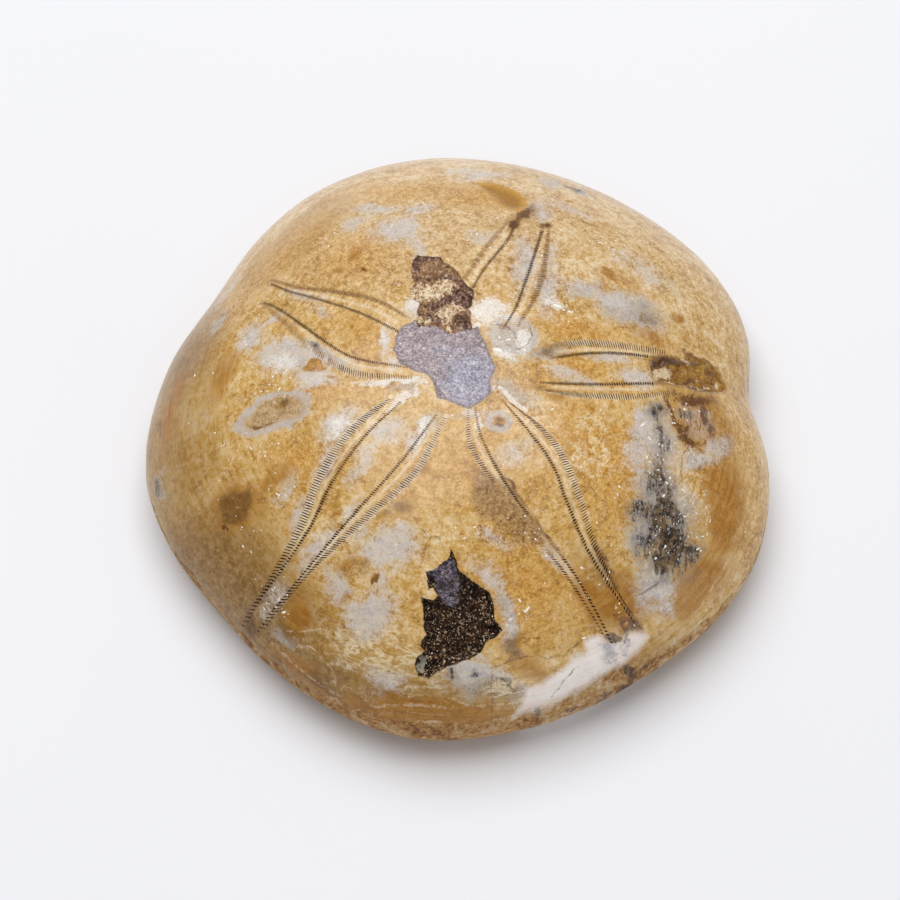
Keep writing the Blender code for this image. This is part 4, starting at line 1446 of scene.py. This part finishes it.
class Stone(Finish):
    """The stone's finish, with the noise that its layers share, and its masks."""

    def __init__(self, name):
        super().__init__(name)
        self.warm = self.clouds(9.0, 3.0, 0.5, 0.6, 1.0) - 0.5
        self.patch = self.clouds(2.6, 5.0, 0.65, 0.9, 2.0) - 0.5
        self.hue = self.clouds(1.2, 4.0, 0.7, 1.0, 11.0) - 0.5
        self.fleck = self.clouds(0.8, 5.0, 0.75, 0.6, 3.0) - 0.5
        self.crumbs = self.clouds(0.45, 4.0, 0.7, 0.0, 10.0)
        self.sand = self.clouds(0.26, 3.0, 0.7, 0.0, 4.0) - 0.5
        self.fibres = self.streaks(5.0, 0.6, 6.0) - 0.5
        stretched = self.vector("MULTIPLY", self.place(), (1.0, 0.3, 0.3))
        self.runs = self.clouds(0.6, 4.0, 0.75, 0.4, 7.0, where=stretched) - 0.5
        self.grit = self.fleck + self.sand
        self.crystal = self.step(self.frayed("crystal", 1.5, 1.0), -0.1, 0.3)
        self.shadow = self.step(self.frayed("shadow", 1.5, 1.0), -0.2, 0.5)
        self.side = self.step(self.mark("side_break"), -0.04, 0.1)
        self.crumbled = self.step(self.mark("crumbled_break"), -0.05, 0.08)
        self.chip = self.step(self.mark("chip_break") + self.fleck * 0.5, -0.05, 0.4)
        self.worn = self.step(self.mark("unpolished") + self.fleck * 0.5, -0.15, 0.15)
        soot = self.mark("soot") * 0.9 + self.fleck * 2.4 + self.sand * 2.4
        self.soot = self.step(soot + self.runs * 3.0 + self.hue, 0.12, 0.5)
        brown_line = self.thin_line("brown_lines", 0.15)
        self.brown_line = brown_line * self.step(self.hue + self.sand, -0.15, 0.1)

    def streaks(self, along, across, seed):
        """Streaks that run round the dome, as long and as wide as given, in millimetres."""
        apex = (APEX[0] * MM, APEX[1] * MM, APEX_HEIGHT * MM)
        place = self.vector("SUBTRACT", self.place(), apex)
        level = self.vector("MULTIPLY", place, (1.0, 1.0, 0.0))
        reach = self.vector("LENGTH", level, output="Value")
        heading = self.vector("NORMALIZE", level)
        turns = STREAK_REACH / along
        out = (reach - self.part(place, "Z") * 0.8) / (across * MM)
        where = self.node(
            "ShaderNodeCombineXYZ", None,
            {"X": self.part(heading, "X") * turns, "Y": self.part(heading, "Y") * turns, "Z": out},
            output="Vector",
        )
        return self.clouds(1.0 / MM, 3.0, 0.6, 0.5, seed, where)

    def frayed(self, name, fleck, sand):
        """A mark whose edge is frayed by flecks and sand."""
        return self.mark(name) + self.fleck * fleck + self.sand * sand

    def thin_line(self, name, width):
        """Where the thin lines of a mark run: 1 on them."""
        return 1.0 - self.step(abs(self.mark(name) + self.fleck * 0.5), 0.02, width)

    def lay(self, colour, family, paint):
        """Lay one family of stains over the colour."""
        opacity, low, high, patch, fleck, sand = STAIN_LAYERS[family]
        field = self.mark(family) + self.patch * patch + self.fleck * fleck + self.sand * sand
        return self.mix(self.step(field, low, high) * opacity, colour, paint)


def golden_ground(stone):
    """The golden stone, with blushes and ochre patches."""
    tone = 0.53 + stone.warm * 0.5 + stone.patch * 0.7 + stone.fleck * 0.9
    tone = tone + stone.fibres * 0.4 + stone.sand * 0.35
    colour = stone.ramp(
        tone, (0.20, (136, 90, 30)), (0.38, (180, 132, 60)), (0.52, (208, 166, 92)),
        (0.66, (226, 194, 138)), (0.86, (244, 228, 202)),
    )
    blush = stone.step(stone.hue + stone.sand * 0.8, 0.02, 0.22) * 0.65
    ochre = stone.step(stone.sand * 0.8 - stone.hue, 0.02, 0.22) * 0.65
    colour = stone.mix(blush, colour, (218, 186, 156))
    return stone.mix(ochre, colour, (192, 142, 54))


def lay_stain_families(stone, colour):
    """The stains, from broad painted light and brown clouds with painted shade to the rust."""
    hue = stone.hue
    fleck = stone.fleck
    grit = stone.grit
    under_ring = {
        # Paler over the left half of the dome, the side towards the lamp: painted light.
        "light": stone.mottled(grit, -0.18, 0.2, (208, 174, 130), (238, 218, 190)),
        # Darker towards the rear and right rim: painted shade, partly the stone's browner colour.
        "bronze": stone.mottled(fleck + hue, -0.25, 0.25, (104, 68, 18), (156, 118, 62)),
        "honey": stone.mottled(grit, -0.18, 0.2, (184, 124, 36), (218, 168, 86)),
        "amber": stone.mottled(hue + stone.fibres, -0.25, 0.25, (154, 96, 18), (182, 128, 44)),
        "grey": stone.mottled(hue, -0.2, 0.2, (204, 196, 180), (164, 158, 162)),
    }
    over_ring = {
        "pale": stone.mottled(hue, -0.2, 0.2, (217, 205, 189), (195, 190, 193)),
        "chalk": (232, 224, 214),
        "inlay": stone.mottled(grit, -0.2, 0.2, (150, 114, 64), (206, 168, 112)),
        "drops": stone.mottled(grit, -0.2, 0.2, (142, 92, 14), (196, 142, 56)),
        "umber": stone.mottled(fleck, -0.15, 0.2, (98, 66, 20), (142, 100, 44)),
        "rust": (92, 50, 12),
    }
    for family, paint in under_ring.items():
        colour = stone.lay(colour, family, paint)
    ring = stone.mark("rings") * 1.4 + stone.patch * 1.6 + fleck * 2.0
    colour = stone.mix(stone.step(ring, 0.1, 1.0) * 0.75, colour, (196, 186, 178))
    for family, paint in over_ring.items():
        colour = stone.lay(colour, family, paint)
    return colour


def lay_veins(stone, colour):
    """Pale growth veins in slow waves, and thin pale lines."""
    veins = stone.streaks(2.6, 1.5, 8.0) - 0.5 + stone.patch * 0.2
    vein = 1.0 - stone.step(abs(veins + stone.sand * 0.06), 0.0, 0.07)
    vein = vein * stone.step(stone.mark("growth") + stone.patch * 2.5 + stone.hue, -0.1, 0.8)
    colour = stone.mix(vein * 0.7, colour, (240, 220, 180))
    broken_up = stone.step(stone.patch + stone.hue + stone.sand, -0.12, 0.16)
    pale_line = stone.thin_line("pale_lines", 0.16) * broken_up
    return stone.mix(pale_line * 0.45, colour, (236, 216, 186))


def lay_petals(stone, colour):
    """Stone darker or paler round the pores, and a pale line between their two rows."""
    fleck = stone.fleck
    along = stone.mark("along_gap")
    line = 1.0 - stone.step(abs(stone.mark("off_gap") + fleck * 0.25), 0.05, 0.34)
    line = line * stone.step(along, 0.0, 0.12) * (1.0 - stone.step(along, 0.6, 0.95))
    ground = stone.mark("slit_shade")
    paler = stone.step(ground + fleck * 0.4, 0.05, 0.8) * 0.7
    browner = stone.step(fleck * 0.4 - ground, 0.05, 0.8) * 0.7
    dash_shade = stone.step(stone.mark("dash_shade") + fleck * 0.2, 0.1, 1.0) * 0.6
    colour = stone.mix(paler, colour, (234, 216, 188))
    colour = stone.mix(browner, colour, (142, 106, 66))
    colour = stone.mix(dash_shade, colour, (110, 78, 48))
    return stone.mix(line * 0.5, colour, (236, 214, 180))


def lay_top_patch(stone, colour):
    """The lavender patch at the top, bluer in one lobe, with a darker edge."""
    speck = 0.5 + stone.sand * 1.3 + stone.fleck * 0.7 + stone.patch * 0.3
    lavender = stone.ramp(
        speck, (0.30, (74, 58, 56)), (0.44, (132, 114, 118)), (0.56, (158, 140, 144)),
        (0.68, (182, 166, 166)), (0.80, (226, 214, 200)),
    )
    blue = stone.ramp(
        speck, (0.28, (92, 84, 96)), (0.44, (140, 133, 148)), (0.56, (162, 156, 173)),
        (0.68, (184, 178, 190)), (0.80, (216, 212, 212)),
    )
    lobe = stone.mark("blue_lobe") + stone.hue * 2.0
    lavender = stone.mottled(lobe, -0.3, 0.5, lavender, blue)
    patch_edge = stone.mark("apex_patch") + stone.fleck * 1.2
    rim = 1.0 - stone.step(abs(patch_edge), 0.0, 0.5)
    lavender = stone.mix(rim * 0.6, lavender, (92, 74, 72))
    return stone.mix(stone.step(patch_edge, -0.1, 0.1), colour, lavender)


def lay_brown_patch(stone, colour):
    """The brown patch within the right front petal."""
    brown = stone.mottled(stone.grit, -0.2, 0.2, (118, 76, 26), (188, 150, 98))
    field = stone.mark("brown_patch") + stone.fleck * 1.6 + stone.patch * 1.2
    return stone.mix(stone.step(field, -0.3, 0.55) * 0.85, colour, brown)


def lay_dirt(stone, colour):
    """Black dirt in fine specks and runs, with a grey halo."""
    halo = stone.mark("soot") + stone.patch * 1.5 + stone.fleck + stone.runs * 2.0
    colour = stone.mix(stone.step(halo, -0.7, 0.5) * 0.7, colour, (122, 118, 114))
    dirt = stone.mottled(stone.runs - stone.hue, -0.1, 0.2, (20, 16, 14), (118, 92, 60))
    glitter = stone.step(stone.sand - stone.runs * 0.6, 0.08, 0.15)
    dirt = stone.mix(glitter * 0.8, dirt, (186, 184, 190))
    return stone.mix(stone.soot * 0.94, colour, dirt)


def lay_side_break(stone, colour):
    """The dark break on the right side: a gritty floor, and a slate grey ledge."""
    ledge = stone.step(stone.mark("ledge") + stone.fleck * 1.6 + stone.patch * 1.2, -0.3, 0.5)
    dark = stone.ramp(
        stone.crumbs + stone.sand * 0.4, (0.40, (20, 9, 3)), (0.54, (48, 26, 12)),
        (0.64, (92, 58, 30)), (0.76, (150, 112, 70)),
    )
    slate = stone.ramp(
        stone.crumbs + stone.sand * 0.6, (0.34, (28, 22, 26)), (0.48, (82, 72, 82)),
        (0.60, (128, 118, 134)), (0.76, (206, 200, 206)),
    )
    floor = stone.mix(ledge, dark, slate)
    floor = stone.mix(stone.shadow * 0.7, floor, (30, 16, 10))
    bright = stone.step(stone.sand + stone.fleck * 0.5 - stone.hue * 0.3, 0.05, 0.13)
    floor = stone.mix(bright * (1.0 - ledge * 0.7) * 0.62, floor, (206, 180, 146))
    floor = stone.mix(stone.crystal * 0.8, floor, (186, 182, 160))
    return stone.mix(stone.side, colour, floor)


def lay_front_break(stone, colour):
    """The glassy brown pit at the end of the front petal."""
    edge = stone.mark("front_break") + stone.fleck * 1.6 + stone.patch * 1.2 + stone.runs
    glassy = stone.ramp(
        stone.crumbs * 0.6 + stone.patch * 0.6 + stone.hue * 0.5 + 0.2, (0.34, (94, 50, 4)),
        (0.46, (134, 86, 16)), (0.56, (162, 114, 34)), (0.70, (190, 150, 82)),
    )
    glassy = stone.mix(stone.shadow * 0.8, glassy, (62, 32, 16))
    glassy = stone.mix(stone.crystal * 0.85, glassy, (226, 204, 166))
    return stone.mix(stone.step(edge, -0.35, 0.5) * 0.95, colour, glassy)


def lay_crumbled_break(stone, colour):
    """The crumbled place beside the top: brown, with pale crumbs and dark crust."""
    rubble = stone.crumbs * 0.9 + stone.mark("lumps") * 0.06 + stone.sand * 0.6
    brown_crust = stone.ramp(
        rubble, (0.30, (108, 74, 46)), (0.44, (148, 112, 80)), (0.58, (188, 154, 120)),
    )
    pale_crust = stone.ramp(
        rubble, (0.34, (130, 96, 64)), (0.43, (206, 174, 134)), (0.56, (238, 220, 192)),
    )
    dark_crust = stone.ramp(
        rubble, (0.32, (58, 36, 28)), (0.44, (104, 74, 60)), (0.54, (146, 116, 102)),
        (0.66, (196, 168, 144)),
    )
    crust = stone.mottled(
        stone.frayed("dark_crust", 2.4, 1.6), -0.15, 0.15, brown_crust, dark_crust,
    )
    crust = stone.mottled(stone.frayed("pale_crumbs", 2.4, 1.6), -0.15, 0.15, crust, pale_crust)
    return stone.mix(stone.crumbled, colour, crust)


def lay_rear_chip(stone, colour):
    """The shallow resin brown chip beyond the left front petal."""
    depth = stone.mark("chip_break") + stone.hue
    resin = stone.mottled(depth, 0.0, 1.4, (206, 156, 76), (166, 118, 48))
    return stone.mix(stone.chip * 0.95, colour, resin)


def lay_worn_rim(stone, colour):
    """The unpolished rim and the underside."""
    rim = stone.ramp(
        stone.crumbs * 0.6 + stone.patch * 0.9 + stone.hue * 0.5 + 0.22, (0.34, (88, 70, 74)),
        (0.42, (144, 98, 56)), (0.50, (176, 134, 84)), (0.58, (192, 158, 114)),
        (0.70, (216, 194, 166)),
    )
    return stone.mix(stone.worn * (0.85 - stone.soot * 0.6), colour, rim)


def darken_grain(stone, colour):
    """Sand and flecks a little darker and lighter than the rest."""
    grainy = stone.sand * 0.8 + stone.fleck * 0.25 + 1.0
    shade = stone.node("ShaderNodeCombineColor", None, {0: grainy, 1: grainy, 2: grainy}, "Color")
    return stone.mix(1.0, colour, shade, "MULTIPLY")


def lay_pink_band_and_reflection(stone, colour):
    """The smooth pink band on the right side, partly a painted reflection, with lilac and soil."""
    fibrous = stone.patch + stone.fibres
    # Near white and pink: partly pale stone, partly a painted reflection.
    pink = stone.mottled(fibrous, -0.3, 0.3, (255, 249, 243), (242, 228, 220))
    lilac = stone.step(stone.frayed("band_blue", 2.0, 1.4), -0.2, 0.6)
    pink = stone.mix(lilac * 0.75, pink, (146, 146, 162))
    # Where the band is, the colour is partly pale stone and partly a painted reflection.
    band = stone.step(stone.mark("pink_band") + stone.patch * 0.7 + stone.fleck * 0.6, -0.15, 0.75)
    colour = stone.mix(band * 0.9, colour, pink)
    soil = stone.mottled(stone.hue, -0.1, 0.1, (62, 44, 32), (122, 98, 80))
    soil_share = stone.step(stone.frayed("band_dirt", 1.8, 1.2), -0.1, 0.4)
    return stone.mix(soil_share * 0.85, colour, soil)


def lay_brown_lines(stone, colour):
    """The thin brown lines, which stop at the dark break."""
    return stone.mix(stone.brown_line * (1.0 - stone.side) * 0.7, colour, (94, 58, 20))


STONE_LAYERS = (
    lay_stain_families, lay_veins, lay_petals, lay_top_patch, lay_brown_patch, lay_dirt,
    lay_side_break, lay_front_break, lay_crumbled_break, lay_rear_chip, lay_worn_rim,
    darken_grain, lay_pink_band_and_reflection, lay_brown_lines,
)


def stone_finish():
    """Polished golden stone, with its clouds, stains, broken places and worn rim."""
    stone = Stone("polished_golden_stone")
    colour = golden_ground(stone)
    for lay in STONE_LAYERS:
        colour = lay(stone, colour)
    broken = stone.side.most(stone.crumbled).most(stone.worn).most(stone.chip * 0.5)
    coat = (1.0 - broken) * (0.85 - stone.soot.most(stone.brown_line) * 0.75)
    # The sides are less glossy than the top.
    height = stone.part(stone.place(), "Z")
    coat = coat * (0.4 + 0.6 * stone.step(height, 6.0 * MM, 20.0 * MM))
    bumps = stone.sand * (0.15 + broken * 1.0) + stone.crumbs * broken * 2.0
    return stone.finish(
        Base_Color=colour, Roughness=0.36 + stone.fleck * 0.3 + broken * 0.45,
        Normal=stone.relief(bumps, 0.08, 0.5), Coat_Weight=coat,
        Coat_Roughness=0.14, Coat_IOR=1.38, Specular_IOR_Level=0.2,
    )


def pore_finish():
    """The dark filling of the pores."""
    filling = Finish("pore_filling")
    tone = filling.mark("tone") + (filling.clouds(0.3, 2.0, seed=5.0) - 0.5) * 0.3
    colour = filling.ramp(
        tone, (0.0, (190, 150, 98)), (0.35, (150, 108, 62)), (0.65, (96, 64, 34)),
        (1.0, (42, 26, 16)),
    )
    return filling.finish(Base_Color=colour, Roughness=0.45, Specular_IOR_Level=0.2)


def grain_finish(name, roughness):
    """Dark, brown and bright grains."""
    grains = Finish(name)
    colour = grains.ramp(
        grains.mark("tone"), (0.0, (26, 14, 8)), (0.3, (82, 54, 34)), (0.5, (146, 112, 78)),
        (0.75, (214, 190, 156)), (1.0, (255, 250, 240)),
    )
    return grains.finish(Base_Color=colour, Roughness=roughness)


# ---------------------------------------------------------------- camera, floor and light


def add_camera():
    """The camera, above the stone's right side and looking down on it."""
    data = bpy.data.cameras.new("camera")
    data.lens = CAMERA_LENS
    data.sensor_width = CAMERA_SENSOR
    data.clip_start = 0.01
    data.clip_end = 20.0
    camera = add_object(data, "camera")
    camera.location = CAMERA_PLACE
    camera.rotation_euler = Euler((math.radians(CAMERA_TILT), 0.0, 0.0))
    bpy.context.scene.camera = camera


def add_floor():
    """A plain pale floor."""
    bm = bmesh.new()
    bmesh.ops.create_circle(bm, cap_ends=True, segments=64, radius=FLOOR_RADIUS)
    mesh = bpy.data.meshes.new("floor")
    bm.to_mesh(mesh)
    bm.free()
    floor = add_object(mesh, "floor")
    card = Finish("floor_card")
    colour = card.mix(card.clouds(60.0, 2.0), (243, 244, 248), (246, 246, 249))
    floor.data.materials.append(card.finish(Base_Color=colour, Roughness=0.7))


def add_light():
    """Even light from all round, a soft lamp high behind the stone and a low one before it."""
    world = bpy.data.worlds.new("room")
    world.use_nodes = True
    background = world.node_tree.nodes["Background"]
    background.inputs["Color"].default_value = ROOM_COLOUR
    background.inputs["Strength"].default_value = ROOM_BRIGHTNESS
    bpy.context.scene.world = world
    for place, width, height, power, aim in LAMPS:
        data = bpy.data.lights.new("soft_lamp", "AREA")
        data.shape = "RECTANGLE"
        data.size = width
        data.size_y = height
        data.energy = power
        lamp = add_object(data, "soft_lamp")
        lamp.location = place
        lamp.rotation_euler = (Vector(aim) - Vector(place)).to_track_quat("-Z", "Y").to_euler()
    bpy.context.scene.view_settings.view_transform = "Standard"


# ---------------------------------------------------------------- putting it together

add_camera()
add_floor()
add_light()

skin = make_skin()
skin.data.materials.append(stone_finish())
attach(skin, "root")
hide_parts(STONE)

pores = make_piece("petal_pores", PORE_SEED, skin, fill_pores)
pores.data.materials.append(pore_finish())
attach(pores, "root")

# Near-white inlays: partly white calcite, partly painted glints.
glints = make_piece("calcite_glints", GLINT_SEED, skin, fill_glints)
glints.data.materials.append(grain_finish("calcite_and_painted_glints", 0.25))
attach(glints, "root")

grains = make_piece("mineral_grains", GRAIN_SEED, skin, fill_grains)
grains.data.materials.append(grain_finish("broken_mineral", 0.5))
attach(grains, "root")
